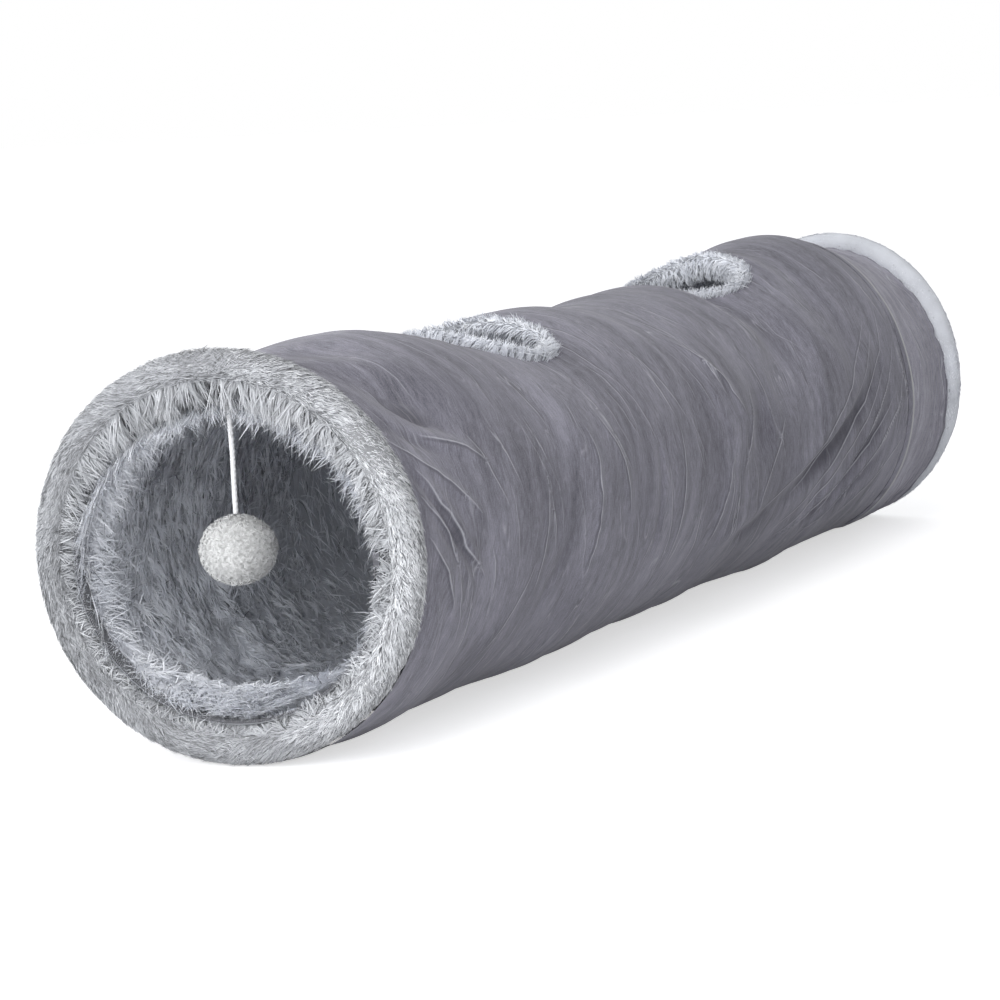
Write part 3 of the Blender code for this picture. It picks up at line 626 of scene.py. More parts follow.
class Ring:
    """A mouth's frame: round its centre, and out of the tunnel from its hoop's plane."""

    def __init__(self, hoop):
        normal = hoop_frame(hoop)[1]
        self.side = np.array((normal[1], -normal[0], 0.0))
        self.out = normal * (1 if hoop else -1)
        self.centre = centre_line(PLACES[hoop]) + SHIFT + RIM_RADIUS * FACET * UP

    def radial(self, phi):
        return self.side * np.cos(phi)[..., None] + UP * np.sin(phi)[..., None]

    def at(self, phi, psi, thick):
        """Point, normal, tangents round the mouth and the roll. Psi is 0 off the axis, PI / 2 outwards."""
        radial = self.radial(phi)
        normal = radial * np.cos(psi)[..., None] + self.out * np.sin(psi)[..., None]
        over = -radial * np.sin(psi)[..., None] + self.out * np.cos(psi)[..., None]
        spot = self.centre + radial * (RIM_RADIUS - ROLL_RADIUS) + normal * np.asarray(thick)[..., None]
        return spot, normal, self.radial(phi + PI / 2), over


def roll_base(name, hoop, thick, material, seed, rough=0.0008):
    length, girth = 240, 28
    phi, psi = np.meshgrid(np.arange(length) * TAU / length, np.arange(girth) * TAU / girth, indexing="ij")
    lumps = 1.6 * noise(phi * 18 / TAU, psi * 3 / TAU, seed, 18)
    lumps = lumps + noise(phi * 54 / TAU, psi * 5 / TAU, seed + 1, 54)
    spot = Ring(hoop).at(phi, psi, thick + rough * lumps)[0]
    spot[..., 2] = np.maximum(spot[..., 2], 0.0)
    return sweep(name, spot, material, flip=hoop == 0)


def roll_pile(name, hoop, thick, count, length, width, lift, material, seed, mottle=0.12):
    random = np.random.default_rng(seed)
    phi = random.uniform(0, TAU, count)
    psi = random.uniform(-1.9, PI + 0.9, count)
    spot, normal, turn, over = Ring(hoop).at(phi, psi, thick - 0.0006)
    u, v = phi * 0.135, psi * 0.013
    offset, value = clumps(u, v, 0.0052, seed)
    down = np.where(np.cos(phi) + 0.12 > random.uniform(-0.35, 0.35, count), -1.0, 1.0)
    swirl = 0.7 * noise(u / 0.05, v / 0.02, seed + 7) + 0.35 * value[:, 0]
    comb = turn * (down * np.cos(swirl))[:, None] - over * (0.28 + 0.9 * np.sin(swirl))[:, None]
    comb = comb + gather(turn, over, offset, 45)
    size = length * (1 + 0.16 * value[:, 2]) * random.uniform(0.7, 1.15, count)
    tone = 0.62 + 0.10 * value[:, 1] + mottle * noise(u / 0.03, v / 0.02, seed + 8)
    tone = tone + random.normal(0, 0.22, count) - np.where(value[:, 0] > 0.84, 0.30, 0.0)
    # Lighter on the +X side and darker on the -X side of the roll: painted light and shade.
    tone = tone + 0.16 * np.cos(phi) + 0.38 * np.maximum(np.cos(phi), 0)
    return ribbons(name, spot, normal, comb, size, width * random.uniform(0.7, 1.3, count),
                   lift + 0.08 * value[:, 2], material, seed + 1, tone, curl=0.14)


def lip_fringe(name, hoop, count, material, seed):
    """Long pale hair on the inner edge of a roll, which hangs over the zip, thickest at the top."""
    random = np.random.default_rng(seed)
    phi = random.uniform(-PI, PI, 3 * count)
    top = 0.5 + 0.5 * np.sin(phi)
    left = np.clip(-np.cos(phi), 0, 1) * (1 - top**2)
    chance = (0.60 + 0.40 * top) * (1 - 0.95 * left)
    chance = chance * (1 - 0.9 * bell(phi, 0, 0.07)) * (1 - 0.97 * bell(phi, PI / 2, 0.075))
    kept = random.random(3 * count) < chance
    phi, top, left = (row[kept][:count] for row in (phi, top, left))
    count = len(phi)
    psi = random.uniform(2.15, 2.95, count)
    spot, normal, turn, over = Ring(hoop).at(phi, psi, NEAR_CLOTH_RADIUS)
    offset, value = clumps(phi * 0.125, psi * 0.012, 0.0080, seed)
    aside = 0.55 * value[:, 0] + random.normal(0, 1, count) * (0.75 - 0.62 * top)
    aside = aside + offset[:, 0] * (55 + 65 * top)
    size = (0.0165 + 0.0035 * top) * (1 - 0.35 * left) * (1 + 0.3 * value[:, 1])
    size = size * random.uniform(0.6, 1.2, count)
    tone = 0.60 + 0.16 * top + 0.24 * value[:, 2] + random.normal(0, 0.16, count)
    return ribbons(name, spot, normal, over + turn * aside[:, None], size,
                   0.0007 * random.uniform(0.7, 1.3, count), 0.34 + 0.24 * top, material, seed + 1, tone,
                   curl=0.16, droop=0.25)


# Peep holes

def trim_line(number, turn):
    """The middle line of a hole's plush ring, its outward direction and the skin's normal there."""
    place, shift = HOLES[number]
    flat = np.stack([np.cos(turn), np.sin(turn), 0 * turn], -1)
    goal = centre_line(np.array(place)) + SHIFT + (shift, 0, 0) + (HOLE_RADIUS - TRIM_WIDTH / 2 - GAP) * flat
    theta, place = np.full(turn.shape, PI / 2), (goal[:, 1] - SHIFT[1]) / LENGTH
    for _ in range(SEEK_STEPS):
        spot, normal, side, along = frame_at(theta, place)
        dx, dy = (goal - spot)[:, :2].T
        theta = theta + (dx * side[:, 0] + dy * side[:, 1]) / TUBE_RADIUS / np.maximum(side[:, 0] ** 2, 0.3)
        place = place + (dx * along[:, 0] + dy * along[:, 1]) / LENGTH
    spot, normal = frame_at(theta, place)[:2]
    return spot + normal * tilt(theta, place)[:, None], flat, normal


def add_trim(number, name, panel, base_material, fur_material, count, length, hole_painted_shade, seed):
    """A plump furred ring through skin and lining, in two halves that meet over the panel's middle."""
    random = np.random.default_rng(seed)
    steps, rounds = 180, 20
    half_width, height, depth, shift, sunk = 0.0062, 0.0070, 0.0150, 0.0020, 0.0030
    table = np.linspace(0, TAU, steps + 1)
    lines = trim_line(number, table)
    at = lambda turn, rows: np.stack([np.interp(turn, table, rows[:, k]) for k in range(3)], -1)

    def ring(turn, psi, thick):
        spot, flat, normal = (at(turn, rows) for rows in lines)
        flat, up = unit(flat), unit(unit(normal) * 0.6 + 0.4 * UP)
        flat = unit(flat - up * np.sum(flat * up, -1, keepdims=True))
        wide, high = half_width * thick, np.where(np.sin(psi) > 0, height, depth) * thick
        point = spot + flat * (shift + wide * np.cos(psi))[:, None]
        point = point + up * (high * np.sin(psi) - sunk)[:, None]
        facing = unit(flat * (np.cos(psi) / half_width)[:, None] + up * (np.sin(psi) / high)[:, None])
        return point, facing, unit(np.cross(up, flat))

    near_side = lines[0][:, 1] < surface(from_floor(AROUND), middle_of(panel)).mean(0)[1]
    for half, side in enumerate(("near", "far")):
        inside = near_side if half == 0 else ~near_side
        start = int(np.flatnonzero(inside & ~np.roll(inside, 1))[0]) if not inside.all() else 0
        turns = (np.arange(int(inside.sum()) + 2) - 1 + start) % steps * TAU / steps
        turn, psi = np.meshgrid(turns, np.arange(rounds) * TAU / rounds, indexing="ij")
        turn, psi = turn.ravel(), psi.ravel()
        lump = 1 + 0.05 * noise(turn * 18 / TAU, 0 * turn, seed, 18)
        point = ring(turn, psi, lump)[0].reshape(len(turns), rounds, 3)
        cloth = sweep(f"{name}_{side}_ring", point, base_material, closed=False, flip=True)
        turn = random.uniform(turns[0], turns[0] + (len(turns) - 1) * TAU / steps, count) % TAU
        psi = random.uniform(-1.3, PI + 1.3, count)
        point, facing, along = ring(turn, psi, np.full(count, 0.93))
        u, v = turn * 0.053, psi * 0.010
        offset, value = clumps(u, v, 0.005, seed + 5)
        swirl = noise(u / 0.03, v / 0.015, seed + 3) * 1.1
        over = np.cross(facing, along)
        inward = np.where(random.random(count) < 0.8, 1 - 1.9 * bell(psi, PI / 2, 0.75), 1.0) * np.cos(swirl)
        comb = along * (0.5 * np.sin(swirl) + 0.35)[:, None] + over * inward[:, None]
        comb = comb + gather(along, over, offset, 110)
        size = length * (1 + 0.3 * value[:, 2]) * random.uniform(0.7, 1.2, count)
        tone = 0.95 + 0.2 * value[:, 1] + random.normal(0, 0.09, count)
        # Strands on the inner, lower side of the ring are darker: painted shade inside the hole.
        tone = tone - np.where(np.cos(psi) < 0.35, hole_painted_shade * np.clip(0.75 - np.sin(psi), 0, 1), 0)
        coat = ribbons(f"{name}_{side}_fur", point, facing, comb, size,
                       0.00058 * random.uniform(0.7, 1.3, count), 0.42 + 0.1 * value[:, 0],
                       fur_material, seed + 20 + half, tone, curl=0.15)
        for piece in (cloth, coat):
            join_at(piece, panel + half, panel)
            belongs(piece, "pale_plush", None, name)


# Materials

class Nodes:
    """The nodes of a material or world. Each call adds one node and gives its output."""

    def __init__(self, owner):
        self.owner = owner
        owner.use_nodes = True
        self.tree = owner.node_tree
        self.tree.nodes.clear()

    def put(self, socket, value):
        if isinstance(value, bpy.types.NodeSocket):
            self.tree.links.new(value, socket)
        else:
            socket.default_value = value

    def add(self, kind, sockets=(), **settings):
        node = self.tree.nodes.new(f"ShaderNode{kind}")
        for key, value in settings.items():
            setattr(node, key, value)
        for socket, value in dict(sockets).items():
            self.put(node.inputs[socket], value)
        return node

    def math(self, operation, *terms):
        return self.add("Math", enumerate(terms), operation=operation).outputs[0]

    def vector(self, operation, *terms):
        return self.add("VectorMath", enumerate(terms), operation=operation).outputs[0]

    def spot(self):
        return self.add("TexCoord").outputs["Object"]

    def noise(self, vector, scale, detail=2.0):
        return self.add("TexNoise", {"Vector": vector, "Scale": scale, "Detail": detail}).outputs["Fac"]

    def streaks(self, place, across, along, detail):
        """Noise stretched to so many cells in a metre across and along."""
        return self.noise(self.vector("MULTIPLY", place, (across, along, 0.0)), 1.0, detail)

    def ramp(self, value, low, high, to_low=0.0, to_high=1.0):
        sockets = {"Value": value, "From Min": low, "From Max": high, "To Min": to_low, "To Max": to_high}
        return self.add("MapRange", sockets).outputs[0]

    def chain(self, operation, terms):
        total = terms[0]
        for term in terms[1:]:
            total = self.math(operation, total, term)
        return total

    def sum(self, *terms):
        return self.chain("ADD", terms)

    def times(self, *terms):
        return self.chain("MULTIPLY", terms)

    def mixed(self, factor, first, second):
        return self.add("Mix", {0: factor, 6: first, 7: second}, data_type="RGBA").outputs[2]

    def near(self, value, middle, reach):
        """1 where a value is the middle one, falling to 0 so far from it."""
        return self.ramp(self.math("ABSOLUTE", self.math("SUBTRACT", value, middle)), reach, 0.0)

    def parts(self, attribute):
        """The red, green and blue of a colour stored on the points."""
        colour = self.add("Attribute", attribute_name=attribute).outputs["Color"]
        return self.add("SeparateColor", {0: colour}).outputs[:3]

    def white_for(self, *rays):
        """1 for rays of the named kinds, which see white."""
        path = self.add("LightPath").outputs
        return self.chain("MAXIMUM", [path[f"Is {ray} Ray"] for ray in rays])


class Shade(Nodes):
    """A material with one shader."""

    def __init__(self, name):
        super().__init__(bpy.data.materials.new(name))
        self.shader = self.add("BsdfPrincipled")
        self.add("OutputMaterial", {0: self.shader.outputs[0]})

    def finish(self, colour, roughness, bump=None, strength=0.3, distance=0.001, **values):
        self.put(self.shader.inputs["Base Color"], colour)
        self.put(self.shader.inputs["Roughness"], roughness)
        if bump is not None:
            node = self.add("Bump", {"Height": bump, "Strength": strength, "Distance": distance})
            self.put(self.shader.inputs["Normal"], node.outputs[0])
        for key, value in values.items():
            self.put(self.shader.inputs[key.replace("_", " ")], value)
        return self.owner


def grey(level, blue=0.0, green=0.25):
    """A colour in the screen's own values, from 0 to 255, with so much more blue and its share of green."""
    linear = lambda value: ((value / 255 + 0.055) / 1.055) ** 2.4
    return (linear(level), linear(level + green * blue), linear(level + blue), 1.0)


def darker(colour, share):
    return tuple(c * share for c in colour[:3]) + (1.0,)


def suede(name, middle, dark, light, strength, edge=None):
    """Brushed faux suede: fine streaks round the tube, thin creases and wrinkles with a painted highlight and
    a painted shadow beside it, and painted shade in the valleys between folds.
    """
    shade = Shade(name)
    place = shade.add("UVMap", uv_map="cloth").outputs[0]
    across = shade.add("SeparateXYZ", {0: place}).outputs[0]
    drift = shade.ramp(shade.streaks(place, 8.0, 11.0, 1.5), 0.2, 0.8, -0.012, 0.012)
    waver = shade.ramp(shade.streaks(place, 36.0, 60.0, 1.0), 0.2, 0.8, -0.0030, 0.0030)
    shift = shade.sum(drift, waver, shade.times(across, -0.16))
    place = shade.vector("ADD", place, shade.add("CombineXYZ", {1: shift}).outputs[0])
    broad = shade.streaks(place, 11.0, 60.0, 2.0)
    fine = shade.streaks(place, 110.0, 640.0, 3.0)
    grain = shade.noise(shade.spot(), 1500.0, 2.0)
    patch = shade.noise(shade.spot(), 8.0, 3.0)
    zone = shade.ramp(patch, 0.38, 0.60, 0.15, 1.0)
    broken = shade.ramp(shade.streaks(place, 26.0, 40.0, 1.0), 0.42, 0.60)
    # Thin wrinkle lines: a painted highlight along each, with painted shade (deep) just beside it; second
    # gives more lines of painted highlight.
    wrinkle = shade.streaks(place, 8.5, 58.0, 1.0)
    moved = shade.vector("ADD", shade.vector("MULTIPLY", place, (13.0, 96.0, 0.0)), (7.0, 3.0, 0.0))
    second = shade.times(shade.near(shade.noise(moved, 1.0, 1.0), 0.53, 0.012), broken)
    # The fold colour says where painted shade, painted highlights and painted shadows go.
    gap, painted_valley_shade, force = shade.parts("fold")
    force = shade.ramp(force, 0.0, 0.9)
    # A painted highlight along each crease's crest, with a painted shadow just beside it.
    painted_crest_highlight = shade.times(shade.near(gap, 0.5, 0.05), force)
    shadow = shade.times(shade.near(gap, 0.60, 0.09), force)
    painted_wrinkle_highlight = shade.times(shade.near(wrinkle, 0.50, 0.011), broken, zone)
    painted_wrinkle_highlight = shade.sum(painted_wrinkle_highlight, shade.times(second, shade.times(zone, 0.6)))
    deep = shade.times(shade.near(wrinkle, 0.468, 0.026), broken, zone)
    level = shade.sum(shade.ramp(broad, 0.3, 0.7, 0.0, 0.42 * strength),
                      shade.ramp(fine, 0.3, 0.7, 0.0, 0.44 * strength),
                      shade.ramp(grain, 0.3, 0.7, 0.0, 0.46),
                      shade.ramp(patch, 0.3, 0.7, 0.0, 0.40), 0.13 - 0.43 * strength)
    colour = shade.mixed(level, dark, middle)
    # The dark colour goes in as painted shade in valleys and beside creases and wrinkles; the light one as
    # painted highlight on crests and wrinkles.
    for share, mask, tint in ((0.66, painted_valley_shade, dark), (0.72, shadow, dark), (0.62, painted_crest_highlight, light),
                              (0.34 * strength, painted_wrinkle_highlight, light), (0.46 * strength, deep, dark)):
        colour = shade.mixed(shade.times(mask, share), colour, tint)
    # Where edge is set, a lighter colour is mixed in as a painted highlight.
    if edge is not None:
        colour = shade.mixed(shade.parts("edge")[0], colour, edge)
    heights = ((broad, 0.6), (fine, 0.3), (painted_wrinkle_highlight, 0.6), (deep, -0.6), (painted_crest_highlight, 0.9), (shadow, -0.7))
    height = shade.sum(*(shade.times(mask, share) for mask, share in heights))
    return shade.finish(colour, 0.88, height, 0.45 * strength, 0.0012, Sheen_Weight=0.15,
                        Sheen_Roughness=0.45, Specular_IOR_Level=0.2)


def fur(name, dark, middle, light, tip, fleck, flecks):
    """Plush pile: dark at the root, paler towards the tip, with a few dark hairs."""
    shade = Shade(name)
    tone, along, chance = shade.parts("fur")
    dark, middle, light, tip, fleck = (grey(*value) for value in (dark, middle, light, tip, fleck))
    body = shade.mixed(shade.ramp(tone, -0.1, 0.5), dark, middle)
    body = shade.mixed(shade.ramp(tone, 0.5, 1.0), body, light)
    body = shade.mixed(shade.ramp(tone, 1.0, 1.4), body, tip)
    root = shade.mixed(shade.ramp(along, 0.0, 0.35), shade.mixed(0.4, body, dark), body)
    grizzle = shade.noise(shade.spot(), 60.0, 2.0)
    root = shade.mixed(shade.ramp(grizzle, 0.56, 0.72, 0.0, 0.25), root, dark)
    root = shade.mixed(shade.ramp(chance, 1 - flecks, 1 - flecks / 2), root, fleck)
    return shade.finish(root, 0.72, shade.noise(shade.spot(), 900.0, 1.0), 0.1, 0.0004, Sheen_Weight=0.2,
                        Sheen_Roughness=0.35, Specular_IOR_Level=0.35)


def woven(name, colour, pitch=1200.0, roughness=0.85):
    """Plain weave: two crossed sets of fine ribs."""
    shade = Shade(name)
    spot = shade.spot()
    sockets = {"Vector": spot, "Scale": pitch / 6, "Distortion": 0.6}
    ribs = shade.times(*(shade.add("TexWave", sockets, bands_direction=way).outputs["Fac"] for way in "XZ"))
    tint = shade.mixed(shade.ramp(shade.noise(spot, 35.0, 3.0), 0.3, 0.7), darker(colour, 0.82), colour)
    return shade.finish(tint, roughness, ribs, 0.4, 0.0003, Sheen_Weight=0.1)


def metal(name, colour, roughness):
    shade = Shade(name)
    spot = shade.spot()
    wear = shade.noise(spot, 90.0, 4.0)
    grain = shade.noise(shade.vector("MULTIPLY", spot, (1.0, 1.0, 12.0)), 300.0, 2.0)
    tint = shade.mixed(shade.ramp(wear, 0.35, 0.7), colour, darker(colour, 0.6))
    rough = shade.ramp(wear, 0.3, 0.7, roughness * 0.8, roughness * 1.3)
    return shade.finish(tint, rough, grain, 0.08, 0.0002, Metallic=1.0)


def fleece(name, pale, shadow):
    shade = Shade(name)
    spot = shade.spot()
    lumps = shade.noise(spot, 420.0, 3.0)
    tint = shade.mixed(shade.ramp(lumps, 0.25, 0.55), shadow, pale)
    tint = shade.mixed(shade.ramp(shade.noise(spot, 120.0, 2.0), 0.55, 0.8, 0.0, 0.3), tint, shadow)
    return shade.finish(tint, 0.9, lumps, 0.5, 0.0008, Sheen_Weight=0.4, Sheen_Roughness=0.5)


# Pieces

def belongs(piece, slot, body, *nodes):
    """The piece rides on its body and stands for its nodes; slot is not used."""
    if body:
        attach(piece, body)
    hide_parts(*nodes)


def sweep(name, rings, material, closed=True, flip=False):
    """A surface through equal rings of points; an open one is capped at both ends."""
    rings = np.asarray(rings)
    count, sides = rings.shape[:2]
    faces = [grid_faces(count + 1 if closed else count, sides, flip=flip) % (count * sides)]
    if not closed:
        cap = np.arange(sides)[None, :]
        ends = (cap[:, ::-1], cap + (count - 1) * sides)
        faces += [end[:, ::-1] if flip else end for end in ends]
    return link(name, mesh_from(name, rings.reshape(-1, 3), faces), material)


def tube_along(name, line, outward, radius, sides, material):
    """A round tube along a line of points; outward gives a direction off the line at each point."""
    run = unit(np.gradient(line, axis=0))
    first = unit(outward - run * np.sum(outward * run, -1, keepdims=True))
    second = np.cross(run, first)
    turn = np.arange(sides)[:, None] * TAU / sides
    radius = np.broadcast_to(radius, (len(line), sides))[..., None]
    rings = line[:, None] + radius * (first[:, None] * np.cos(turn) + second[:, None] * np.sin(turn))
    return sweep(name, rings, material, closed=False)


def add_camera():
    """The photograph's viewpoint, worked out from the rims, hoops and outline of the tunnel."""
    spot = np.array((1.125, -1.681, 0.460)) + SHIFT
    yaw, pitch, roll, focal = -0.494, -0.1385, -0.0568, 2.9
    ahead = np.array((math.sin(yaw) * math.cos(pitch), math.cos(yaw) * math.cos(pitch), math.sin(pitch)))
    right = np.array((math.cos(yaw), -math.sin(yaw), 0.0))
    up = np.cross(right, ahead)
    side = math.cos(roll) * right + math.sin(roll) * up
    top = -math.sin(roll) * right + math.cos(roll) * up
    data = bpy.data.cameras.new("camera")
    data.lens = focal * data.sensor_width
    made = bpy.data.objects.new("camera", data)
    made.matrix_world = Matrix(np.vstack([np.stack([side, top, -ahead, spot], 1), (0, 0, 0, 1)]).tolist())
    bpy.context.scene.collection.objects.link(made)
    bpy.context.scene.camera = made


def add_cord(material):
    """The braided cord that hangs from its knot to the pompom."""
    side = Ring(0).side
    top = KNOT - (KNOT_RADIUS + GAP) * UP
    points, sides, lay = 260, 20, 0.0042
    table = np.linspace(0, 1, points)
    route = top + CORD_LENGTH * (side * CORD_SIDE_SHARES[:, None] - UP * CORD_DOWN_SHARES[:, None])
    line = np.stack([np.interp(table, CORD_DOWN_SHARES, route[:, k]) for k in range(3)], -1)
    for _ in range(6):
        line[1:-1] = (line[:-2] + 2 * line[1:-1] + line[2:]) / 4
    turn = np.arange(sides) * TAU / sides
    twist = table[:, None] * CORD_LENGTH / lay * TAU
    strands = np.maximum(np.cos(3 * turn + twist), np.cos(3 * turn - twist))
    piece = tube_along("pompom_cord_braid", line, np.tile(side, (points, 1)),
                       CORD_RADIUS * (0.93 + 0.09 * strands), sides, material)
    belongs(piece, "white_cord", "pompom", "pompom_cord")


def lumpy_ball(name, centre, radius, height_share, detail, lumps, seed, material):
    """A ball covered in rounded lumps; lumps gives the size and the rise of each kind of lump."""
    work = bmesh.new()
    bmesh.ops.create_icosphere(work, subdivisions=detail, radius=1.0)
    spots = np.array([vertex.co for vertex in work.verts])
    faces = np.array([[vertex.index for vertex in face.verts] for face in work.faces])
    work.free()
    random = np.random.default_rng(seed)
    reach = np.full(len(spots), radius - sum(rise for _, rise in lumps))
    for size, rise in lumps:
        seeds = unit(random.normal(size=(int(12.6 * (radius / size) ** 2), 3)))
        gone = nearest(seeds, spots)[1] * radius
        reach = reach + rise * np.clip(1 - (gone / size) ** 2 * 1.15, -0.6, 1)
    out = spots * reach[:, None] * (1, 1, height_share) + centre
    return link(name, mesh_from(name, out, [faces]), material)


def add_pompom(material, fuzz_material, cord_material):
    """The ball with its curls in tufts, the knot, and the loop that holds it to the roll."""
    centre = KNOT - (KNOT_RADIUS + 2 * GAP + CORD_LENGTH + POMPOM_RADIUS * POMPOM_HEIGHT_SHARE) * UP
    core = lumpy_ball("pompom_fleece", centre, POMPOM_RADIUS * 0.93, POMPOM_HEIGHT_SHARE, 6,
                      ((0.0100, 0.0010), (0.0046, 0.0010), (0.0022, 0.0009)), 31, material)
    belongs(core, "white_fleece", "pompom", "pompom")
    random = np.random.default_rng(41)
    count, tuft_count, tuft_reach = 17000, 620, 0.085
    normal = unit(random.normal(size=(count, 3)))
    root = normal * (1, 1, POMPOM_HEIGHT_SHARE) * POMPOM_RADIUS * random.uniform(0.89, 0.96, count)[:, None]
    tufts = unit(random.normal(size=(tuft_count, 3)))
    index, gone = nearest(tufts, normal)
    comb = tufts[index] - normal + 0.03 * random.normal(size=(count, 3))
    edge = np.clip(gone / tuft_reach, 0, 1)
    length = random.uniform(0.0030, 0.0048, count) * (1 - 0.45 * edge)
    # Curls are darker towards the edge of their tuft: painted shade between the tufts.
    tone = 1.12 - 0.62 * edge**2 + random.normal(0, 0.08, count)
    fuzz = ribbons("pompom_curls", centre + root, normal, comb, length, np.full(count, 0.00040), 0.62,
                   fuzz_material, 43, tone, curl=0.5)
    belongs(fuzz, "white_fleece", "pompom", "pompom")
    knot = lumpy_ball("cord_knot_wraps", KNOT, KNOT_RADIUS, 1.0, 4, ((0.0013, 0.0007),), 51, cord_material)
    belongs(knot, "white_cord", "cord_knot", "cord_knot")
    ring = Ring(0)
    low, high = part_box("cord_tab")
    half, top, bottom = 0.0021, high[2] + 0.008, low[2]
    rings = []
    for step in np.linspace(0, 1, 25):
        middle = np.array((KNOT[0], KNOT[1], bottom + (top - bottom) * step))
        thick = 0.0006 + 0.0002 * math.sin(6 * PI * step)
        bow = 0.00033 * math.sin(PI * step)
        corners = ((-half, -thick), (half, -thick), (half, thick), (-half, thick))
        rings.append([middle + ring.side * a + ring.out * (b + bow) for a, b in corners])
    tab = sweep("cord_tab_loop", rings, cord_material, closed=False, flip=True)
    belongs(tab, "white_cord", "near_mouth", "cord_tab")


def halves(panel, margins):
    """The two halves of a panel: start, end and hoop; margins are how far cloth runs on at the mouths."""
    low = max(PLACES[panel], RESTS[0] - margins[0] / LENGTH)
    high = min(PLACES[panel + 1], 1 - RESTS[LAST] + margins[1] / LENGTH)
    return (low, middle_of(panel), panel), (middle_of(panel), high, panel + 1)


def add_skins(skin, cuff):
    rests = ("near_rim_hoop", *(f"{name}_hoop_casing" for name in HOOPS[1:LAST]), "far_rim_hoop")
    depth = lambda theta, place: -relief(theta, place)
    for panel, name in enumerate(PANELS):
        near, far = halves(panel, (0.0060, 0.0040))
        rows = [(near, f"{name}_skin"), (far, f"{name}_skin")]
        if name == "far":
            rows = [((near[0], CUFF_PLACE, panel), "far_skin"), ((CUFF_PLACE, near[1], panel), "far_cuff"),
                    (far, "far_cuff")]
        for (start, end, hoop), node in rows:
            label = f"{node}_{'near' if hoop == panel else 'far'}_half"
            material, slot = (cuff, "smooth_suede") if node == "far_cuff" else (skin, "grey_suede")
            piece = tube_piece(label, start, end, depth, material, paint=fold_paint)
            join_at(piece, hoop, panel)
            belongs(piece, slot, None, node)


def add_linings(base, pile):
    counts = ((39500, 28000), (20000, 9000), (4000, 4000), (4000, 4000), (4000, 8000))
    length, width, margin = 0.021, 0.00076, 0.0040
    for panel, name in enumerate(PANELS):
        for half, (start, end, hoop) in enumerate(halves(panel, (margin, margin))):
            label = f"{name}_lining_{'far' if half else 'near'}"
            cloth = tube_piece(f"{label}_backing", start, end, lining_depth, base, inward=True, columns=144,
                               step=0.008)
            strands = inside_pile(f"{label}_pile", start, end, counts[panel][half], length, width, pile,
                                  100 + 10 * panel + half, {0: 0, LAST: 1}.get(hoop))
            for piece in (cloth, strands):
                join_at(piece, hoop, panel)
                belongs(piece, "long_pile", None, f"{name}_lining")


def add_rolls(base, pile, far_base, far_pile, wadding):
    rough = 0.0004
    near = [roll_base("near_rim_cover_cloth", 0, NEAR_CLOTH_RADIUS, base, 61),
            roll_pile("near_rim_cover_pile", 0, NEAR_PILE_RADIUS, 39000, 0.0078, 0.00042, 0.30, pile, 63),
            roll_pile("near_rim_cover_nap", 0, NEAR_PILE_RADIUS, 39000, 0.0056, 0.00036, 0.46, pile, 73),
            lip_fringe("near_rim_cover_fringe", 0, 12000, pile, 69)]
    far = [roll_base("far_rim_cover_cloth", LAST, FAR_CLOTH_RADIUS, far_base, 65, rough),
           roll_pile("far_rim_cover_pile", LAST, FAR_PILE_RADIUS, 38000, 0.0040, 0.00046, 0.46, far_pile,
                     67, mottle=0.45)]
    for hoop, name, slot, pieces in ((0, "near", "grey_plush", near), (LAST, "far", "pale_plush", far)):
        for piece in pieces:
            belongs(piece, slot, f"{name}_mouth", f"{name}_rim_cover")
        core = roll_base(f"{name}_rim_wadding_core", hoop, WADDING_RADIUS, wadding, 71 + hoop, rough)
        belongs(core, "white_wadding", f"{name}_mouth", f"{name}_rim_wadding")


def add_hem(material):
    """The folded edge of the main skin, thin at its front and rounded where it ends over the cuff, with a
    painted highlight along that rounded end.
    """
    profile = np.array(((-0.012, 0.0003), (-0.011, 0.0008), (-0.008, 0.0013), (-0.005, 0.0018),
                        (-0.002, 0.0023), (-0.0006, 0.0022), (0.0, 0.0016), (0.0, 0.0009),
                        (-0.0005, 0.0004), (-0.006, 0.0002)))
    turns = np.linspace(math.radians(HEM_OPEN_ANGLE) - PI / 2, 1.5 * PI - math.radians(HEM_OPEN_ANGLE), 260)
    theta, along = turns[:, None], profile[:, 0]
    place = CUFF_PLACE + along / LENGTH + 0 * theta
    rings = surface(theta, place, -profile[:, 1] - relief(theta, place))
    piece = sweep("skin_hem_fold", rings, material, closed=False)
    # The rows of the rounded end are marked for a lighter colour: a painted highlight along the fold's edge.
    edge = np.zeros(rings.shape[:2] + (4,))
    edge[:, 4:8, :3] = 1.0
    edge[..., 3] = 1.0
    add_colour(piece.data, "edge", edge)
    index = np.empty(len(piece.data.loops), np.int32)
    piece.data.loops.foreach_get("vertex_index", index)
    row, column = np.divmod(index, len(profile))
    cloth = np.stack([(turns[row] + PI / 2) * TUBE_RADIUS, CUFF_PLACE * LENGTH + along[column]], -1)
    add_uv(piece.data, "cloth", cloth)
    join_at(piece, 4, 4)
    belongs(piece, "grey_suede", None, "skin_hem")


def add_casings(material):
    top, half, wall, bevel = 0.0023, 0.0031, 0.0008, 0.0005
    foot = top + 2 * half
    outline = ((-half, foot), (-half, top + bevel), (-half + bevel, top), (half - bevel, top),
               (half, top + bevel), (half, foot), (half - wall, foot), (half - wall, top + wall),
               (wall - half, top + wall), (wall - half, foot))
    turns = from_floor(180)
    for hoop in range(1, LAST):
        rings = np.stack([surface(turns, PLACES[hoop] + along / LENGTH, deep) for along, deep in outline], 1)
        piece = sweep(f"{HOOPS[hoop]}_hoop_channel", rings, material)
        belongs(piece, "casing_tape", RINGS[hoop], f"{HOOPS[hoop]}_hoop_casing")


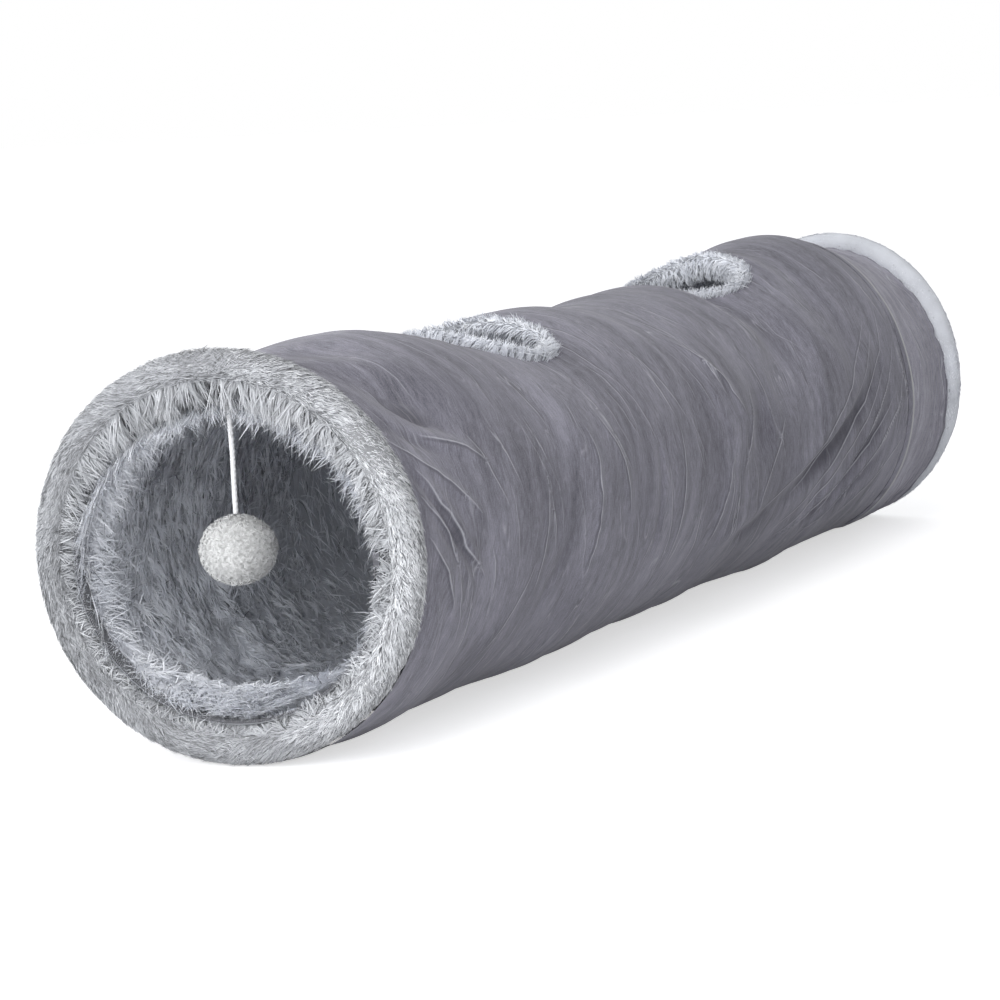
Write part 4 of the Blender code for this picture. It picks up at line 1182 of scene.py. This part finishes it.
def add_zips(material, metal_finish):
    """Nylon coils wound round their tapes' edges, and the pull that hangs from the slider."""
    turns, steps, radius = 330, 9, 0.1169
    half_width, half_depth, forward, wire = 0.00075, 0.0016, 0.002, 0.00032
    share = np.linspace(0, 1, turns * steps + 1)
    angle = np.radians(6 - 262 * share)
    wind = share * turns * TAU
    for hoop, name in ((0, "near"), (LAST, "far")):
        ring = Ring(hoop)
        radial = ring.radial(angle)
        outward = radial * (half_width * np.cos(wind))[:, None]
        outward = outward + ring.out * (half_depth * np.sin(wind))[:, None]
        line = ring.centre + radial * radius + ring.out * forward + outward
        piece = tube_along(f"{name}_zip_coil_turns", line, outward, wire, 5, material)
        belongs(piece, "nylon_coil", f"{name}_mouth", f"{name}_zip_coil")
    ring, drop, wire, bead_radius = Ring(0), 0.0175, 0.00075, 0.0024
    share = np.linspace(0, 1, 40)
    line = PIVOTS["zip_pull_swing"] + ring.side * (0.0008 * np.sin(PI * share) - 0.0012 * share**3)[:, None]
    line = line + ring.out * (0.0016 * np.sin(1.4 * PI * share) * share)[:, None]
    line[:, 2] -= drop * share
    pull = tube_along("zip_pull_wire", line, np.tile(ring.side, (40, 1)), wire, 10, metal_finish)
    bead = lumpy_ball("zip_pull_bead", line[-1], bead_radius, 1.0, 4, ((0.0020, 0.0002),), 81,
                      metal_finish)
    for piece in (pull, bead):
        belongs(piece, "dark_zip_metal", "zip_pull", "zip_pull")


def paint_nodes(material, *nodes):
    """Puts a finish on solids that stay."""
    for node in nodes:
        made = bpy.data.objects[node] if node in bpy.data.objects else frame["nodes"][node]
        if not made.data.materials:
            made.data.materials.append(material)
        for slot in made.material_slots:
            slot.material = material


# Studio

def add_studio():
    reach = 40.0
    corners = np.array(((-1, -1, 0), (1, -1, 0), (1, 1, 0), (-1, 1, 0))) * reach
    floor = Shade("pale_floor")
    grain = floor.ramp(floor.noise(floor.spot(), 3.0, 2.0), 0.3, 0.7)
    floor.finish(floor.mixed(grain, (0.80, 0.80, 0.81, 1.0), (0.82, 0.82, 0.83, 1.0)), 0.9)
    floor.put(floor.shader.inputs["Emission Strength"], floor.times(floor.white_for("Camera", "Glossy"), 0.6))
    floor.put(floor.shader.inputs["Emission Color"], (1.0, 1.0, 1.0, 1.0))
    link("floor", mesh_from("floor", corners, [np.array(((0, 1, 2, 3),))]), floor.owner)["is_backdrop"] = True
    world = Nodes(bpy.data.worlds.new("studio"))
    towards = world.add("VectorMath", {0: world.add("TexCoord").outputs["Generated"],
                                       1: Vector((-0.25, -0.70, 0.60)).normalized()}, operation="DOT_PRODUCT")
    level = world.ramp(towards.outputs["Value"], -1.0, 1.0, 0.30, 0.70)
    soft = world.add("Background", {0: (0.965, 0.98, 1.0, 1.0), 1: level})
    white = world.add("Background", {0: (1.0, 1.0, 1.0, 1.0)})
    seen = world.white_for("Camera", "Glossy", "Transmission")
    mix = world.add("MixShader", {0: seen, 1: soft.outputs[0], 2: white.outputs[0]})
    world.add("OutputWorld", {0: mix.outputs[0]})
    bpy.context.scene.world = world.owner
    for name, spot, size, power, tint in (("key", (0.15, -1.35, 2.0), 1.7, 23.0, (1.0, 0.99, 0.97)),
                                          ("front", (0.50, -2.50, 0.80), 1.3, 26.0, (0.97, 0.99, 1.0)),
                                          ("mouth", (-0.70, -2.00, 0.40), 0.8, 18.0, (0.97, 0.99, 1.0))):
        data = bpy.data.lights.new(name, "AREA")
        data.size, data.energy, data.color = size, power, tint
        lamp = bpy.data.objects.new(name, data)
        lamp.location = spot
        lamp.rotation_euler = (Vector((0.0, -0.2, 0.15)) - Vector(spot)).to_track_quat("-Z", "Y").to_euler()
        bpy.context.scene.collection.objects.link(lamp)
    bpy.context.scene.view_settings.view_transform = "Standard"


WHITE_CORD = woven("white_cord_braid", (0.64, 0.64, 0.65, 1.0), 1500.0)
TAPE = woven("grey_tape_weave", (0.33, 0.32, 0.35, 1.0))
DARK_METAL = metal("dark_zip_metal_finish", (0.09, 0.09, 0.10, 1.0), 0.42)
add_camera()
add_cord(WHITE_CORD)
add_pompom(fleece("pompom_fleece_finish", grey(190), grey(178)),
           fur("pompom_curl_finish", (160, 1), (192,), (206,), (216,), (186,), 0.01), WHITE_CORD)
# Middle, dark and light suede colours: the dark one is both the darker nap and painted shade; the light one
# is only painted highlight.
NAP = (grey(143, 10, -0.15), grey(74, 7, -0.15), grey(200, 8, 0.0))
SKIN = suede("grey_suede_finish", *NAP, 1.0)
HEM_WITH_HIGHLIGHT = suede("grey_suede_hem_finish", *NAP, 1.0, grey(184))
# The cuff's colours, used the same way: dark for darker nap and painted shade, light for painted highlight.
CUFF = suede("smooth_suede_finish", grey(172, 10, -0.25), grey(86, 8, -0.15), grey(214, 9, 0.0), 0.9)
add_skins(SKIN, CUFF)
add_hem(HEM_WITH_HIGHLIGHT)
add_casings(TAPE)
add_rolls(woven("plush_backing", grey(130, 4)),
          fur("grey_plush_finish", (84, 4), (156, 5), (186, 5), (226, 4), (76, 2), 0.11),
          woven("pale_plush_backing", grey(212, 9)),
          fur("pale_plush_finish", (150, 9), (200, 9), (222, 9), (238, 7), (150, 8), 0.08),
          woven("white_wadding_finish", (0.8, 0.8, 0.8, 1.0), 500.0))
add_linings(woven("long_pile_backing", grey(196, 10)),
            fur("long_pile_finish", (180, 9), (236, 9), (246, 7), (252, 3), (120, 8), 0.05))
TRIM_BASE = woven("trim_backing", grey(150, 8))
TRIM_PILE = fur("peep_trim_finish", (120, 10), (206, 10), (228, 9), (244, 5), (120, 8), 0.04)
add_trim(0, "front_peep_trim", 1, TRIM_BASE, TRIM_PILE, 6500, 0.0090, 1.1, 91)
add_trim(1, "rear_peep_trim", 3, TRIM_BASE, TRIM_PILE, 6500, 0.0080, 0.05, 95)
add_zips(woven("nylon_coil_finish", (0.20, 0.20, 0.22, 1.0), 2400.0, 0.45), DARK_METAL)
paint_nodes(metal("spring_steel_finish", (0.55, 0.56, 0.58, 1.0), 0.3), *(f"{name}_hoop" for name in HOOPS))
# The zip tapes are darker than the casing tape: painted shade in the crease between roll and lining.
paint_nodes(woven("zip_tape_weave", grey(104, 6)), "near_zip_tape", "far_zip_tape")
paint_nodes(DARK_METAL, "zip_slider")
add_studio()

[[list(corner) for corner in box] for box in (CAD_BOX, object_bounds())]
